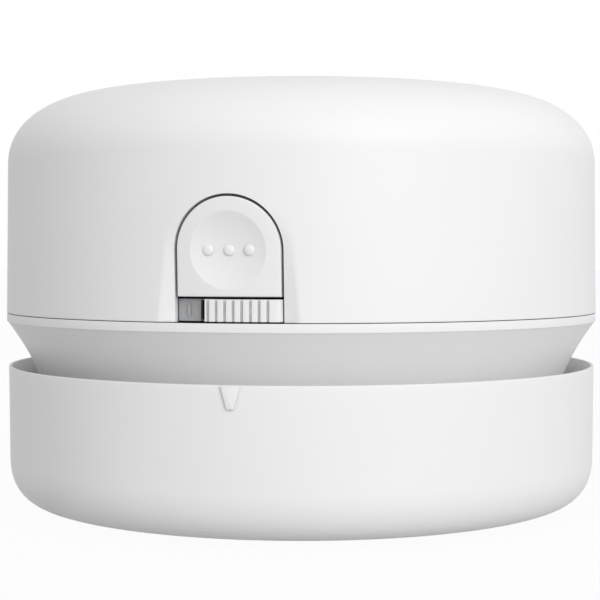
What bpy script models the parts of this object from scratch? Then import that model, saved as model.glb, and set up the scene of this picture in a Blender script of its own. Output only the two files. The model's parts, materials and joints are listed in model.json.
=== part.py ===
"""Desktop mini vacuum cleaner: a round two-part puck that stands on a desk.

The dust cup stands on four glide feet, with the intake and its brush ring underneath. The motor
unit drops into the cup's inner collar and is held by one snap hook. The arched button on the
front draws the hook back, and the ribbed slider under the button switches the motor.
The front is -Y, the desk is z = 0 and the turning axis is Z. Lengths are in metres.
"""

import math

import bmesh
import bpy
from mathutils import Matrix, Vector

MM = 0.001

# Fits
FIT_GAP = 0.3 * MM
OVERRUN = 2.0 * MM
MERGE = 0.00001

# Outer form
BODY_RADIUS = 42.5 * MM
FOOT_STAND = 1.0 * MM
CUP_HEIGHT = 19.6 * MM
NECK_SHOWING = 6.3 * MM
BAND_HEIGHT = 1.05 * MM
SEAM_GAP = 0.3 * MM
SHELL_WALL_HEIGHT = 20.7 * MM
SHELL_CORNER_HEIGHT = 10.2 * MM
SHELL_CORNER_DEPTH = 13.85 * MM
SHELL_DRAFT = 0.25 * MM
SHELL_WALL = 2.0 * MM
CROWN_RISE = 0.75 * MM
SHELL_POWER = 2.08

# Dust cup
CUP_SET_BACK = 0.25 * MM
CUP_DRAFT = 0.1 * MM
CUP_CORNER_HEIGHT = 6.5 * MM
CUP_CORNER_DEPTH = 5.5 * MM
CUP_POWER = 2.2
CUP_WALL = 1.8 * MM
RIM_LAND = 0.4 * MM
RIM_TAPER = 3.0 * MM
COLLAR_WALL = 1.5 * MM
INTAKE_RADIUS = 8.0 * MM
CHIMNEY_WALL = 1.5 * MM
CHIMNEY_HEIGHT = 4.2 * MM
MARKER_WIDTH = 2.4 * MM
MARKER_TIP_WIDTH = 0.85 * MM
MARKER_HEIGHT = 2.9 * MM
MARKER_PROUD = 0.35 * MM
MARKER_OFFSET = 0.4 * MM

# Brush ring and feet
BRUSH_INNER_RADIUS = 10.3 * MM
BRUSH_WIDTH = 3.4 * MM
BRUSH_BACKING = 1.0 * MM
BRISTLE_LENGTH = 3.4 * MM
BRISTLE_LIFT = 0.3 * MM
TUFT_INSET = 0.22 * MM
TUFT_COLUMNS = 32
ISLAND_WALL = 1.2 * MM
FOOT_RADIUS = 3.0 * MM
FOOT_RECESS = 0.5 * MM
FOOT_COUNT = 4

# Lower housing
NECK_INSET = 5.2 * MM
FLARE_HEIGHT = 10.7 * MM
FLARE_POWER = 1.55
BAND_STEP = 0.1 * MM
HOUSING_WALL = 1.8 * MM
HOUSING_FLOOR = 1.6 * MM
SHOULDER_WIDTH = 2.7 * MM
SPIGOT_LENGTH = 5.8 * MM
LIP_HEIGHT = 1.65 * MM
EXHAUST_COUNT = 24
EXHAUST_WIDTH = 4.4 * MM
EXHAUST_HEIGHT = 2.1 * MM
EXHAUST_SILL = 0.7 * MM
GASKET_THICKNESS = 0.8 * MM
POST_INSET = 2.8 * MM
COLUMN_WALL = 1.0 * MM
SHELL_POST_ANGLES = (15, 165, 215, 325)
DECK_POST_ANGLES = (90, 242, 298)

# Filter
FILTER_MARGIN = 0.7 * MM
FILTER_FLANGE = 2.4 * MM
FILTER_FLANGE_THICKNESS = 0.7 * MM
FILTER_SLEEVE = 1.5 * MM
FILTER_LEDGE = 3.0 * MM
FILTER_PAD_THICKNESS = 1.2 * MM

# Fasteners
SHELL_SCREW_HEAD = 2.2 * MM
SHELL_SCREW_HEAD_HEIGHT = 1.8 * MM
SHELL_SCREW_SHANK = 1.1 * MM
SHELL_SCREW_LENGTH = 9.0 * MM
SHELL_BOSS_WALL = 1.5 * MM
SMALL_SCREW_HEAD = 1.7 * MM
SMALL_SCREW_HEAD_HEIGHT = 0.8 * MM
SMALL_SCREW_SHANK = 0.8 * MM
DECK_SCREW_LENGTH = 8.0 * MM
DECK_POST_WALL = 1.2 * MM
MOTOR_SCREW_LENGTH = 4.5 * MM
MOTOR_SCREW_CIRCLE = 7.5 * MM
BRACKET_SCREW_LENGTH = 3.8 * MM

# Deck, motor and impeller
DECK_LIFT = 1.3 * MM
DECK_THICKNESS = 1.6 * MM
MOTOR_RADIUS = 12.0 * MM
MOTOR_HEADROOM = 8.7 * MM
MOTOR_EDGE = 1.2 * MM
MOTOR_CAP_RADIUS = 10.0 * MM
MOTOR_CAP_HEIGHT = 2.0 * MM
DAMPER_WALL = 1.6 * MM
DAMPER_HEIGHT = 7.5 * MM
CRADLE_RING_WALL = 1.5 * MM
SHAFT_RADIUS = 1.0 * MM
SHAFT_SEAT = 2.0 * MM
IMPELLER_INSET = 1.3 * MM
IMPELLER_HUB = 4.5 * MM
IMPELLER_PLATE = 0.9 * MM
IMPELLER_RUN_GAP = 0.9 * MM
BLADE_THICKNESS = 1.0 * MM
BLADE_LEAN = 35
BLADE_COUNT = 9

# Battery and charging
CELL_TO_BOARD = 0.7 * MM
CELL_END_ROOM = 2.2 * MM
CELL_LIFT = 1.5 * MM
CELL_TO_RING = 0.5 * MM
CRADLE_END_GAP = 6.5 * MM
CRADLE_WIDTH_SHARE = 0.5
CRADLE_HEIGHT = 3.2 * MM
BOARD_WIDTH = 19.0 * MM
BOARD_THICKNESS = 1.2 * MM
BOARD_INSET = 1.6 * MM
BOARD_DEPTH = 8.0 * MM
BOARD_POST_RADIUS = 1.6 * MM
BOARD_POST_SPREAD = 6.0 * MM
SOCKET_WIDTH = 9.0 * MM
SOCKET_HEIGHT = 3.2 * MM
SOCKET_LENGTH = 8.2 * MM
SOCKET_SKIN = 0.45 * MM
SOCKET_SET_BACK = 1.1 * MM
SOCKET_DEPTH = 6.2 * MM
TONGUE_WIDTH = 6.4 * MM
TONGUE_HEIGHT = 0.7 * MM
TONGUE_SET_BACK = 1.0 * MM
PORT_MARGIN = 0.5 * MM
LIGHT_RADIUS = 0.9 * MM
LIGHT_LENGTH = 5.5 * MM
LIGHT_OFFSET = 8.0 * MM
LIGHT_SET_BACK = 0.25 * MM
WIRE_RADIUS = 0.6 * MM

# Release button, latch and switch
BUTTON_WIDTH = 13.0 * MM
BUTTON_HEIGHT = 12.15 * MM
PANEL_DEPTH_AT_SEAM = 0.88 * MM
PANEL_DEPTH_AT_APEX = 0.05 * MM
POCKET_SLOPE_SHARE = 3.6
BUTTON_GAP = 0.33 * MM
BUTTON_THICKNESS = 3.5 * MM
FLANGE_THICKNESS = 1.0 * MM
FLANGE_MARGIN = 1.1 * MM
DISH_RADIUS = 4.75 * MM
DISH_DEPTH = 0.8 * MM
DISH_RISE_FROM_FOOT = 5.65 * MM
PIP_RADIUS = 0.7 * MM
PIP_PROUD = 0.35 * MM
PIP_PITCH = 2.6 * MM
PRESS_TRAVEL = 1.6 * MM
KNOB_WIDTH = 9.5 * MM
KNOB_HEIGHT = 2.7 * MM
KNOB_END_GAP = 0.2 * MM
KNOB_SET_BACK = 0.4 * MM
KNOB_THICKNESS = 0.8 * MM
KNOB_GROOVE = 0.28 * MM
KNOB_GROOVE_DEPTH = 0.3 * MM
KNOB_GROOVE_PITCH = 1.06 * MM
KNOB_FIRST_GROOVE = 0.39 * MM
KNOB_GROOVES = 8
SWITCH_TRAVEL = 3.2 * MM
PLATE_THICKNESS = 0.9 * MM
PLATE_END_GAP = 0.1 * MM
PLATE_SLOT_SHOWING = 0.95 * MM
PLATE_RAIL_HEIGHT = 0.3 * MM
PLATE_RAIL_THICKNESS = 0.4 * MM
LEVER_WIDTH = 2.4 * MM
LEVER_HEIGHT = 1.0 * MM
LEVER_REACH = 1.4 * MM
SWITCH_BODY_WIDTH = 11.0 * MM
SWITCH_BODY_DEPTH = 3.0 * MM
SHELF_DEPTH = 4.4 * MM
SHELF_THICKNESS = 1.8 * MM
LATCH_WIDTH = 6.0 * MM
LATCH_THICKNESS = 1.8 * MM
LATCH_WALL_GAP = 0.6 * MM
BRIDGE_LIFT = 0.9 * MM
BRIDGE_HEIGHT = 2.0 * MM
HOOK_HEIGHT = 1.2 * MM
HOOK_BITE = 1.3 * MM
HOOK_CATCH = 0.9 * MM
BRACKET_WIDTH = 12.0 * MM
BRACKET_THICKNESS = 1.6 * MM
BRACKET_FOOT_SHARE = 0.6
BRACKET_SCREW_SPREAD = 4.0 * MM
BRACKET_TOP_MARGIN = 3.5 * MM
SPRING_RADIUS = 2.2 * MM
SPRING_WIRE = 0.28 * MM
SPRING_TURNS = 5
SPRING_PIN_RADIUS = 1.2 * MM
SPRING_PIN_LENGTH = 2.0 * MM
SPRING_RISE = 6.3 * MM

# Smoothness
SHELL_SEGMENTS = 2 * EXHAUST_COUNT
INNER_SEGMENTS = 32
SMALL_SEGMENTS = 12
COLUMN_SEGMENTS = 16
FOOT_SEGMENTS = 24
CELL_SEGMENTS = 24
SPRING_STEPS = 8
SMOOTH_ANGLE = 30
PANEL_SEGMENTS = 180
ARCH_STEPS = 14
SHELL_STEPS = 8
SHELL_INNER_STEPS = 4
CUP_STEPS = 6
FLARE_STEPS = 5
DISH_STEPS = 5

# Heights of the stack, from the desk up
cup_low = FOOT_STAND
cup_rim = cup_low + CUP_HEIGHT
band_low = cup_rim + NECK_SHOWING
band_top = band_low + BAND_HEIGHT
shell_low = band_top + SEAM_GAP
shell_corner = shell_low + SHELL_WALL_HEIGHT
shell_shoulder = shell_corner + SHELL_CORNER_HEIGHT
shell_apex = shell_shoulder + CROWN_RISE
neck_shoulder = band_low - FLARE_HEIGHT
spigot_low = neck_shoulder - SPIGOT_LENGTH
housing_floor = spigot_low + HOUSING_FLOOR
cup_rim_radius = BODY_RADIUS - CUP_SET_BACK
neck_radius = BODY_RADIUS - NECK_INSET
spigot_radius = neck_radius - SHOULDER_WIDTH
spigot_bore = spigot_radius - HOUSING_WALL
collar_bore = spigot_radius + FIT_GAP
collar_radius = collar_bore + COLLAR_WALL
collar_top = neck_shoulder - 2 * FIT_GAP - GASKET_THICKNESS
exhaust_low = neck_shoulder + EXHAUST_SILL
exhaust_top = exhaust_low + EXHAUST_HEIGHT
deck_low = exhaust_top + DECK_LIFT
deck_top = deck_low + DECK_THICKNESS
deck_seat = deck_top + FIT_GAP
lip_radius = BODY_RADIUS - SHELL_WALL - FIT_GAP
lip_bore = lip_radius - HOUSING_WALL
lip_top = band_top + LIP_HEIGHT
floor_top = cup_low + CUP_WALL
column_radius = SHELL_SCREW_HEAD + FIT_GAP + COLUMN_WALL
post_circle = spigot_bore - POST_INSET
foot_circle = post_circle - FOOT_RADIUS
filter_opening = post_circle - column_radius - FILTER_MARGIN
impeller_radius = filter_opening - IMPELLER_INSET

# Places of the switch, the button and the latch
knob_low = band_top + FIT_GAP
knob_top = knob_low + KNOB_HEIGHT
button_low = knob_top + FIT_GAP
button_apex = button_low + BUTTON_HEIGHT
button_half = BUTTON_WIDTH / 2
dish_height = button_low + DISH_RISE_FROM_FOOT
button_back_radius = BODY_RADIUS - BUTTON_THICKNESS
knob_proud_radius = BODY_RADIUS - KNOB_SET_BACK
knob_back_radius = knob_proud_radius - KNOB_THICKNESS
hole_half = button_half + BUTTON_GAP
knob_right = hole_half - KNOB_END_GAP
knob_left = knob_right - KNOB_WIDTH
knob_tail_depth = math.sqrt(knob_back_radius ** 2 - knob_right ** 2) - FIT_GAP
plate_radius = math.hypot(knob_tail_depth, knob_right - SWITCH_TRAVEL)
plate_back = plate_radius - PLATE_THICKNESS
plate_half = hole_half - PLATE_END_GAP
switch_front = plate_back - FIT_GAP
lever_place = (knob_left + knob_right) / 2
lever_middle = knob_low + KNOB_HEIGHT / 2
latch_front = spigot_bore - LATCH_WALL_GAP
latch_back = latch_front - LATCH_THICKNESS
bracket_front = latch_back - PRESS_TRAVEL - 2 * FIT_GAP
bracket_back = bracket_front - BRACKET_THICKNESS
bridge_low = knob_top + BRIDGE_LIFT
bridge_top = bridge_low + BRIDGE_HEIGHT
hook_low = housing_floor + FIT_GAP
hook_top = hook_low + HOOK_HEIGHT
spring_height = button_low + SPRING_RISE
bracket_top = spring_height + BRACKET_TOP_MARGIN

# Places of the motor, the battery and the charging socket
impeller_low = housing_floor + IMPELLER_RUN_GAP
impeller_top = deck_low - 2 * FIT_GAP - SMALL_SCREW_HEAD_HEIGHT
damper_bore = MOTOR_RADIUS + FIT_GAP
damper_radius = damper_bore + DAMPER_WALL
cradle_bore = damper_radius + FIT_GAP
cradle_radius = cradle_bore + CRADLE_RING_WALL
bracket_foot = BRACKET_FOOT_SHARE * (bracket_back - cradle_radius)
motor_top = shell_apex - SHELL_WALL - MOTOR_HEADROOM
board_low = lip_top + 2 * FIT_GAP
board_top = board_low + BOARD_THICKNESS
board_back = BODY_RADIUS - SHELL_WALL - BOARD_INSET
board_front = board_back - BOARD_DEPTH
cell_radius = (board_front - CELL_TO_BOARD - cradle_radius - CELL_TO_RING) / 2
cell_depth = cradle_radius + CELL_TO_RING + cell_radius
cell_height = deck_seat + CELL_LIFT + FIT_GAP + cell_radius
cell_length = 2 * (math.sqrt(lip_bore ** 2 - (cell_depth + cell_radius) ** 2) - CELL_END_ROOM)
socket_low = board_top + FIT_GAP
socket_middle = socket_low + SOCKET_HEIGHT / 2
socket_mouth = BODY_RADIUS - SOCKET_SET_BACK
socket_end = socket_mouth - SOCKET_LENGTH

# Bring the file back to an empty scene
for old in list(bpy.data.objects):
    bpy.data.objects.remove(old, do_unlink=True)

parts = bpy.data.collections.new("mini_vacuum")
cutters = bpy.data.collections.new("cutters")
bpy.context.scene.collection.children.link(parts)
bpy.context.scene.collection.children.link(cutters)


def material(name, colour, roughness, metallic=0.0):
    """Return the Principled material of this name, made on first use."""
    found = bpy.data.materials.get(name)
    if found:
        return found
    made = bpy.data.materials.new(name)
    made.use_nodes = True
    shader = made.node_tree.nodes["Principled BSDF"]
    shader.inputs["Base Color"].default_value = (*colour, 1.0)
    shader.inputs["Roughness"].default_value = roughness
    shader.inputs["Metallic"].default_value = metallic
    made.diffuse_color = (*colour, 1.0)
    return made


def white_plastic():
    return material("white_abs", (0.84, 0.84, 0.85), 0.42)


def grey_plastic():
    return material("light_grey_abs", (0.56, 0.56, 0.57), 0.5)


def dark_plastic():
    return material("dark_abs", (0.06, 0.06, 0.065), 0.5)


def rubber():
    return material("soft_rubber", (0.42, 0.42, 0.43), 0.85)


def steel():
    return material("zinc_steel", (0.62, 0.62, 0.6), 0.3, 1.0)


def as_cutter(obj):
    """Hide a working shape from the render, and draw it as wire."""
    obj.hide_render = True
    obj.display_type = "WIRE"
    return obj


def add_object(name, mesh, finish=None):
    """Put a mesh in the scene: a part where it has a finish, or else a cutter."""
    obj = bpy.data.objects.new(name, mesh)
    if finish:
        mesh.materials.append(finish)
        parts.objects.link(obj)
        return obj
    cutters.objects.link(obj)
    return as_cutter(obj)


def smooth_group():
    """Return a node group that shades faces smooth and keeps the edges past an angle sharp."""
    group = bpy.data.node_groups.new("smooth_by_angle", "GeometryNodeTree")
    group.interface.new_socket("Geometry", in_out="INPUT", socket_type="NodeSocketGeometry")
    group.interface.new_socket("Geometry", in_out="OUTPUT", socket_type="NodeSocketGeometry")
    start = group.nodes.new("NodeGroupInput")
    end = group.nodes.new("NodeGroupOutput")
    faces = group.nodes.new("GeometryNodeSetShadeSmooth")
    edges = group.nodes.new("GeometryNodeSetShadeSmooth")
    edges.domain = "EDGE"
    angle = group.nodes.new("GeometryNodeInputMeshEdgeAngle")
    flat = group.nodes.new("FunctionNodeCompare")
    flat.operation = "LESS_EQUAL"
    flat.inputs["B"].default_value = math.radians(SMOOTH_ANGLE)
    group.links.new(start.outputs["Geometry"], faces.inputs["Geometry"])
    group.links.new(faces.outputs["Geometry"], edges.inputs["Geometry"])
    group.links.new(angle.outputs["Unsigned Angle"], flat.inputs["A"])
    group.links.new(flat.outputs["Result"], edges.inputs["Shade Smooth"])
    group.links.new(edges.outputs["Geometry"], end.inputs["Geometry"])
    return group


def turned(name, outline, segments, finish=None, ring=False):
    """Turn (radius, height) points about Z; a ring's outline closes on itself."""
    mesh = bpy.data.meshes.new(name)
    count = len(outline)
    edges = [(i, i + 1) for i in range(count - 1)]
    if ring:
        edges.append((count - 1, 0))
    mesh.from_pydata([(radius, 0, height) for radius, height in outline], edges, [])
    obj = add_object(name, mesh, finish)
    screw = obj.modifiers.new("turn", "SCREW")
    screw.angle = math.tau
    screw.steps = segments
    screw.render_steps = segments
    screw.use_merge_vertices = True
    screw.merge_threshold = MERGE
    return obj


def ring_outline(inner, outer, low, high):
    """Return a square ring's outline, down its outer side."""
    return [(outer, high), (outer, low), (inner, low), (inner, high)]


def disc_outline(radius, low, high):
    """Return a solid disc's outline, from its top centre to its lower centre."""
    return [(0, high), (radius, high), (radius, low), (0, low)]


def blocks(name, boxes, finish=None):
    """Make boxes, each from its low corner to its high corner, as one mesh."""
    bm = bmesh.new()
    for low, high in boxes:
        size = Vector(high) - Vector(low)
        middle = (Vector(high) + Vector(low)) / 2
        place = Matrix.Translation(middle) @ Matrix.Diagonal((*size, 1.0))
        bmesh.ops.create_cube(bm, size=1.0, matrix=place)
    mesh = bpy.data.meshes.new(name)
    bm.to_mesh(mesh)
    bm.free()
    return add_object(name, mesh, finish)


def rods(name, places, radius, low, high, finish=None, segments=SMALL_SEGMENTS):
    """Make upright cylinders at (x, y) places, as one mesh."""
    bm = bmesh.new()
    for x, y in places:
        bmesh.ops.create_cone(
            bm, cap_ends=True, segments=segments, radius1=radius, radius2=radius,
            depth=high - low, matrix=Matrix.Translation((x, y, (high + low) / 2)),
        )
    mesh = bpy.data.meshes.new(name)
    bm.to_mesh(mesh)
    bm.free()
    return add_object(name, mesh, finish)


def cross_rod(name, place, radius, length, finish=None, segments=SMALL_SEGMENTS):
    """Make a cylinder along Y whose front end is at place."""
    x, y, z = place
    bm = bmesh.new()
    turn = Matrix.Rotation(math.pi / 2, 4, "X")
    bmesh.ops.create_cone(
        bm, cap_ends=True, segments=segments, radius1=radius, radius2=radius,
        depth=length, matrix=Matrix.Translation((x, y + length / 2, z)) @ turn,
    )
    mesh = bpy.data.meshes.new(name)
    bm.to_mesh(mesh)
    bm.free()
    return add_object(name, mesh, finish)


def plate(name, outline, front, back, finish=None):
    """Extrude an outline of (x, z) points along Y, from front to back."""
    curve = bpy.data.curves.new(name, "CURVE")
    curve.dimensions = "2D"
    curve.fill_mode = "BOTH"
    curve.extrude = abs(back - front) / 2
    spline = curve.splines.new("POLY")
    spline.points.add(len(outline) - 1)
    for point, (x, z) in zip(spline.points, outline):
        point.co = (x, z, 0, 1)
    spline.use_cyclic_u = True
    drawn = bpy.data.objects.new(name + "_curve", curve)
    drawn.matrix_world = Matrix.Translation((0, (front + back) / 2, 0)) @ Matrix.Rotation(
        math.pi / 2, 4, "X"
    )
    return meshed(name, drawn, finish)


def meshed(name, drawn, finish=None):
    """Turn a curve object into a welded mesh object in the same place."""
    cutters.objects.link(drawn)
    bpy.context.view_layer.update()
    evaluated = drawn.evaluated_get(bpy.context.evaluated_depsgraph_get())
    mesh = bpy.data.meshes.new_from_object(evaluated)
    mesh.name = name
    mesh.materials.clear()
    bm = bmesh.new()
    bm.from_mesh(mesh)
    bmesh.ops.remove_doubles(bm, verts=bm.verts, dist=MERGE)
    bmesh.ops.recalc_face_normals(bm, faces=bm.faces)
    bm.to_mesh(mesh)
    bm.free()
    obj = add_object(name, mesh, finish)
    obj.matrix_world = drawn.matrix_world.copy()
    bpy.data.objects.remove(drawn, do_unlink=True)
    return obj


def loft(name, loops, finish=None):
    """Skin a closed solid over loops with equal counts of points."""
    bm = bmesh.new()
    rows = [[bm.verts.new(point) for point in loop] for loop in loops]
    count = len(rows[0])
    for row, after in zip(rows, rows[1:]):
        for i in range(count):
            j = (i + 1) % count
            bm.faces.new((row[i], row[j], after[j], after[i]))
    bm.faces.new(rows[0])
    bm.faces.new(rows[-1])
    bmesh.ops.recalc_face_normals(bm, faces=bm.faces)
    mesh = bpy.data.meshes.new(name)
    bm.to_mesh(mesh)
    bm.free()
    return add_object(name, mesh, finish)


def boolean(obj, tool, operation):
    """Add a Boolean with one working shape."""
    step = obj.modifiers.new(operation.lower() + "_" + tool.name, "BOOLEAN")
    step.operation = operation
    step.object = tool
    return obj


def cut(obj, *tools):
    for tool in tools:
        boolean(obj, tool, "DIFFERENCE")
    return obj


def join(obj, *tools):
    for tool in tools:
        boolean(obj, tool, "UNION")
    return obj


def on_circle(radius, degrees):
    angle = math.radians(degrees)
    return (radius * math.cos(angle), radius * math.sin(angle))


def corner(inner_radius, depth, start, height, power, steps):
    """Return a superellipse quarter, from the wall to the flat."""
    points = []
    for i in range(steps + 1):
        angle = math.pi / 2 * i / steps
        radius = inner_radius + depth * math.cos(angle) ** (2 / power)
        points.append((radius, start + height * math.sin(angle) ** (2 / power)))
    return points


def flare_radius(height):
    """Return the neck's outer radius: a power curve from the band to the shoulder."""
    share = min(1.0, max(0.0, (height - neck_shoulder) / FLARE_HEIGHT))
    return neck_radius + (BODY_RADIUS - BAND_STEP - neck_radius) * share ** FLARE_POWER


def panel_radius(height):
    """Return the radius of the button's leaning front face."""
    share = (button_apex - height) / (button_apex - shell_low)
    return BODY_RADIUS - PANEL_DEPTH_AT_APEX - (PANEL_DEPTH_AT_SEAM - PANEL_DEPTH_AT_APEX) * share


def arch(half_width, low, apex, steps=ARCH_STEPS):
    """Return a round-topped outline as (x, z) points."""
    points = [(-half_width, low)]
    for i in range(steps + 1):
        angle = math.pi * (1 - i / steps)
        rise = half_width * math.sin(angle)
        points.append((half_width * math.cos(angle), apex - half_width + rise))
    points.append((half_width, low))
    return points


def dust_cup():
    """The cup: outer wall, floor, inner collar and the island round the intake."""
    flat = cup_rim_radius - CUP_DRAFT - CUP_CORNER_DEPTH
    outer = corner(flat, CUP_CORNER_DEPTH, 0, CUP_CORNER_HEIGHT, CUP_POWER, CUP_STEPS)
    outer = [(radius, cup_low + CUP_CORNER_HEIGHT - height) for radius, height in outer]
    wall_bore = cup_rim_radius - CUP_DRAFT - CUP_WALL
    inner_low = cup_low + CUP_CORNER_HEIGHT
    brush_outer = BRUSH_INNER_RADIUS + BRUSH_WIDTH + FIT_GAP
    brush_inner = BRUSH_INNER_RADIUS - FIT_GAP
    groove_top = BRISTLE_LIFT + BRISTLE_LENGTH + BRUSH_BACKING + FIT_GAP
    island_top = groove_top + ISLAND_WALL
    chimney_top = floor_top + CHIMNEY_HEIGHT
    chimney_radius = INTAKE_RADIUS + CHIMNEY_WALL
    island_radius = brush_outer + ISLAND_WALL
    outline = [(cup_rim_radius, cup_rim)] + outer
    outline += [
        (brush_outer, cup_low),
        (brush_outer, groove_top),
        (brush_inner, groove_top),
        (brush_inner, cup_low),
        (INTAKE_RADIUS, cup_low),
        (INTAKE_RADIUS, chimney_top),
        (chimney_radius, chimney_top),
        (chimney_radius, island_top),
        (island_radius, island_top),
        (island_radius, floor_top),
        (collar_bore, floor_top),
        (collar_bore, collar_top),
        (collar_radius, collar_top),
        (collar_radius, floor_top + CUP_WALL),
        (flat + CUP_WALL, floor_top + CUP_WALL),
        (wall_bore, inner_low),
        (wall_bore, cup_rim - RIM_TAPER),
        (cup_rim_radius - RIM_LAND, cup_rim),
    ]
    cup = turned("dust_cup", outline, SHELL_SEGMENTS, white_plastic(), ring=True)
    half = LATCH_WIDTH / 2 + FIT_GAP
    catch = blocks("collar_catch_cut", [(
        (-half, -collar_radius - OVERRUN / 2, hook_low - FIT_GAP),
        (half, -collar_bore + OVERRUN / 2, hook_top + FIT_GAP),
    )])
    recess = rods(
        "foot_recess_cut", foot_places(), FOOT_RADIUS + FIT_GAP, cup_low - OVERRUN,
        cup_low + FOOT_RECESS, segments=FOOT_SEGMENTS,
    )
    cut(cup, catch, recess)
    tip = MARKER_TIP_WIDTH / 2
    top = MARKER_WIDTH / 2
    mark = [
        (MARKER_OFFSET - top, cup_rim), (MARKER_OFFSET - tip, cup_rim - MARKER_HEIGHT),
        (MARKER_OFFSET + tip, cup_rim - MARKER_HEIGHT), (MARKER_OFFSET + top, cup_rim),
    ]
    marker = plate("marker_join", mark, -cup_rim_radius - MARKER_PROUD, -cup_rim_radius + RIM_LAND)
    join(cup, marker)
    return cup


def foot_places():
    turn = 360 / FOOT_COUNT
    return [on_circle(foot_circle, turn * (i + 0.5)) for i in range(FOOT_COUNT)]


def glide_feet():
    """Four low pads that the cup slides on."""
    feet = []
    for number, (x, y) in enumerate(foot_places(), 1):
        top = cup_low + FOOT_RECESS - FIT_GAP
        foot = turned(
            "glide_foot_%d" % number, disc_outline(FOOT_RADIUS, 0, top), FOOT_SEGMENTS, rubber(),
        )
        foot.location = (x, y, 0)
        feet.append(foot)
    return feet


def brush_ring():
    """A backing ring whose underside carries two rows of tufts."""
    low = BRISTLE_LIFT + BRISTLE_LENGTH
    inner = BRUSH_INNER_RADIUS
    middle = inner + BRUSH_WIDTH / 2
    outer = inner + BRUSH_WIDTH
    section = [
        (outer, low + BRUSH_BACKING), (outer, low), (middle, low),
        (inner, low), (inner, low + BRUSH_BACKING),
    ]
    bm = bmesh.new()
    verts = [bm.verts.new((radius, 0, height)) for radius, height in section]
    edges = [bm.edges.new((verts[i], verts[i - 1])) for i in range(len(verts))]
    bmesh.ops.spin(
        bm, geom=verts + edges, axis=(0, 0, 1), cent=(0, 0, 0), steps=TUFT_COLUMNS,
        angle=math.tau, use_merge=True,
    )
    bmesh.ops.remove_doubles(bm, verts=bm.verts, dist=MERGE)
    bmesh.ops.recalc_face_normals(bm, faces=bm.faces)
    chosen = []
    for face in bm.faces:
        centre = face.calc_center_median()
        if abs(centre.z - low) > MERGE:
            continue
        column = round(math.atan2(centre.y, centre.x) / math.tau * TUFT_COLUMNS - 0.5)
        row = int(centre.xy.length > middle)
        if (column + row) % 2 == 0:
            chosen.append(face)
    bmesh.ops.inset_individual(bm, faces=chosen, thickness=TUFT_INSET)
    for face in chosen:
        pulled = bmesh.ops.extrude_face_region(bm, geom=[face])
        ends = [item for item in pulled["geom"] if isinstance(item, bmesh.types.BMVert)]
        bmesh.ops.translate(bm, verts=ends, vec=(0, 0, -BRISTLE_LENGTH))
    bmesh.ops.delete(bm, geom=chosen, context="FACES_ONLY")
    bmesh.ops.recalc_face_normals(bm, faces=bm.faces)
    mesh = bpy.data.meshes.new("brush_ring")
    bm.to_mesh(mesh)
    bm.free()
    return add_object("brush_ring", mesh, material("nylon_bristle", (0.2, 0.2, 0.21), 0.6))


def shell_post_places():
    return [on_circle(post_circle, angle) for angle in SHELL_POST_ANGLES]


def deck_post_places():
    return [on_circle(post_circle, angle) for angle in DECK_POST_ANGLES]


def column_top():
    """The shell's screw columns end just under the bosses that hang from the roof."""
    return band_top - FIT_GAP


def screw_seat():
    """The heads of the shell's screws bear on this ledge inside the columns."""
    return column_top() - 2 * HOUSING_WALL


def lower_housing():
    """Band, flared neck and spigot: the tub that carries the motor deck."""
    steps = FLARE_STEPS
    outline = [(BODY_RADIUS, band_top), (BODY_RADIUS, band_low)]
    for i in range(steps + 1):
        height = band_low - FLARE_HEIGHT * i / steps
        outline.append((flare_radius(height), height))
    outline += [
        (spigot_radius, neck_shoulder),
        (spigot_radius, spigot_low),
        (filter_opening, spigot_low),
        (filter_opening, housing_floor),
        (spigot_bore, housing_floor),
        (spigot_bore, neck_shoulder),
    ]
    for i in range(steps):
        height = exhaust_low + (band_low - exhaust_low) * i / (steps - 1)
        outline.append((min(flare_radius(height) - HOUSING_WALL, lip_bore), height))
    outline += [(lip_bore, lip_top), (lip_radius, lip_top), (lip_radius, band_top)]
    housing = turned("lower_housing", outline, SHELL_SEGMENTS, white_plastic(), ring=True)
    columns = rods(
        "column_join", shell_post_places(), column_radius, spigot_low + FIT_GAP, column_top(),
        segments=COLUMN_SEGMENTS,
    )
    posts = rods(
        "deck_post_join", deck_post_places(), SMALL_SCREW_SHANK + FIT_GAP + DECK_POST_WALL,
        spigot_low + FIT_GAP, deck_low - FIT_GAP,
    )
    shelf = blocks("switch_shelf_join", [(
        (-SWITCH_BODY_WIDTH / 2, -lip_bore - FIT_GAP, band_top - SHELF_THICKNESS),
        (SWITCH_BODY_WIDTH / 2, -switch_front + SHELF_DEPTH, band_top),
    )])
    join(housing, columns, posts, shelf)
    shell_bores = rods(
        "head_bore_cut", shell_post_places(), SHELL_SCREW_HEAD + FIT_GAP,
        spigot_low - OVERRUN, screw_seat(),
    )
    shank_bores = rods(
        "shank_bore_cut", shell_post_places(), SHELL_SCREW_SHANK + FIT_GAP,
        screw_seat() - OVERRUN, column_top() + OVERRUN,
    )
    deck_bores = rods(
        "deck_bore_cut", deck_post_places(), SMALL_SCREW_SHANK + FIT_GAP,
        deck_low - DECK_SCREW_LENGTH, deck_low + OVERRUN,
    )
    half = LATCH_WIDTH / 2 + FIT_GAP
    window = blocks("hook_window_cut", [(
        (-half, -spigot_radius - FIT_GAP, hook_low - FIT_GAP / 2),
        (half, -latch_front - FIT_GAP, hook_top + FIT_GAP),
    )])
    front = button_half + FLANGE_MARGIN + FIT_GAP
    lip_gap = blocks("lip_gap_cut", [(
        (-front, -lip_radius - FIT_GAP / 2, band_top),
        (front, -lip_bore + OVERRUN, lip_top + OVERRUN),
    )])
    cut(housing, shell_bores, shank_bores, deck_bores, window, lip_gap, exhaust_cutter())
    return housing


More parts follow.
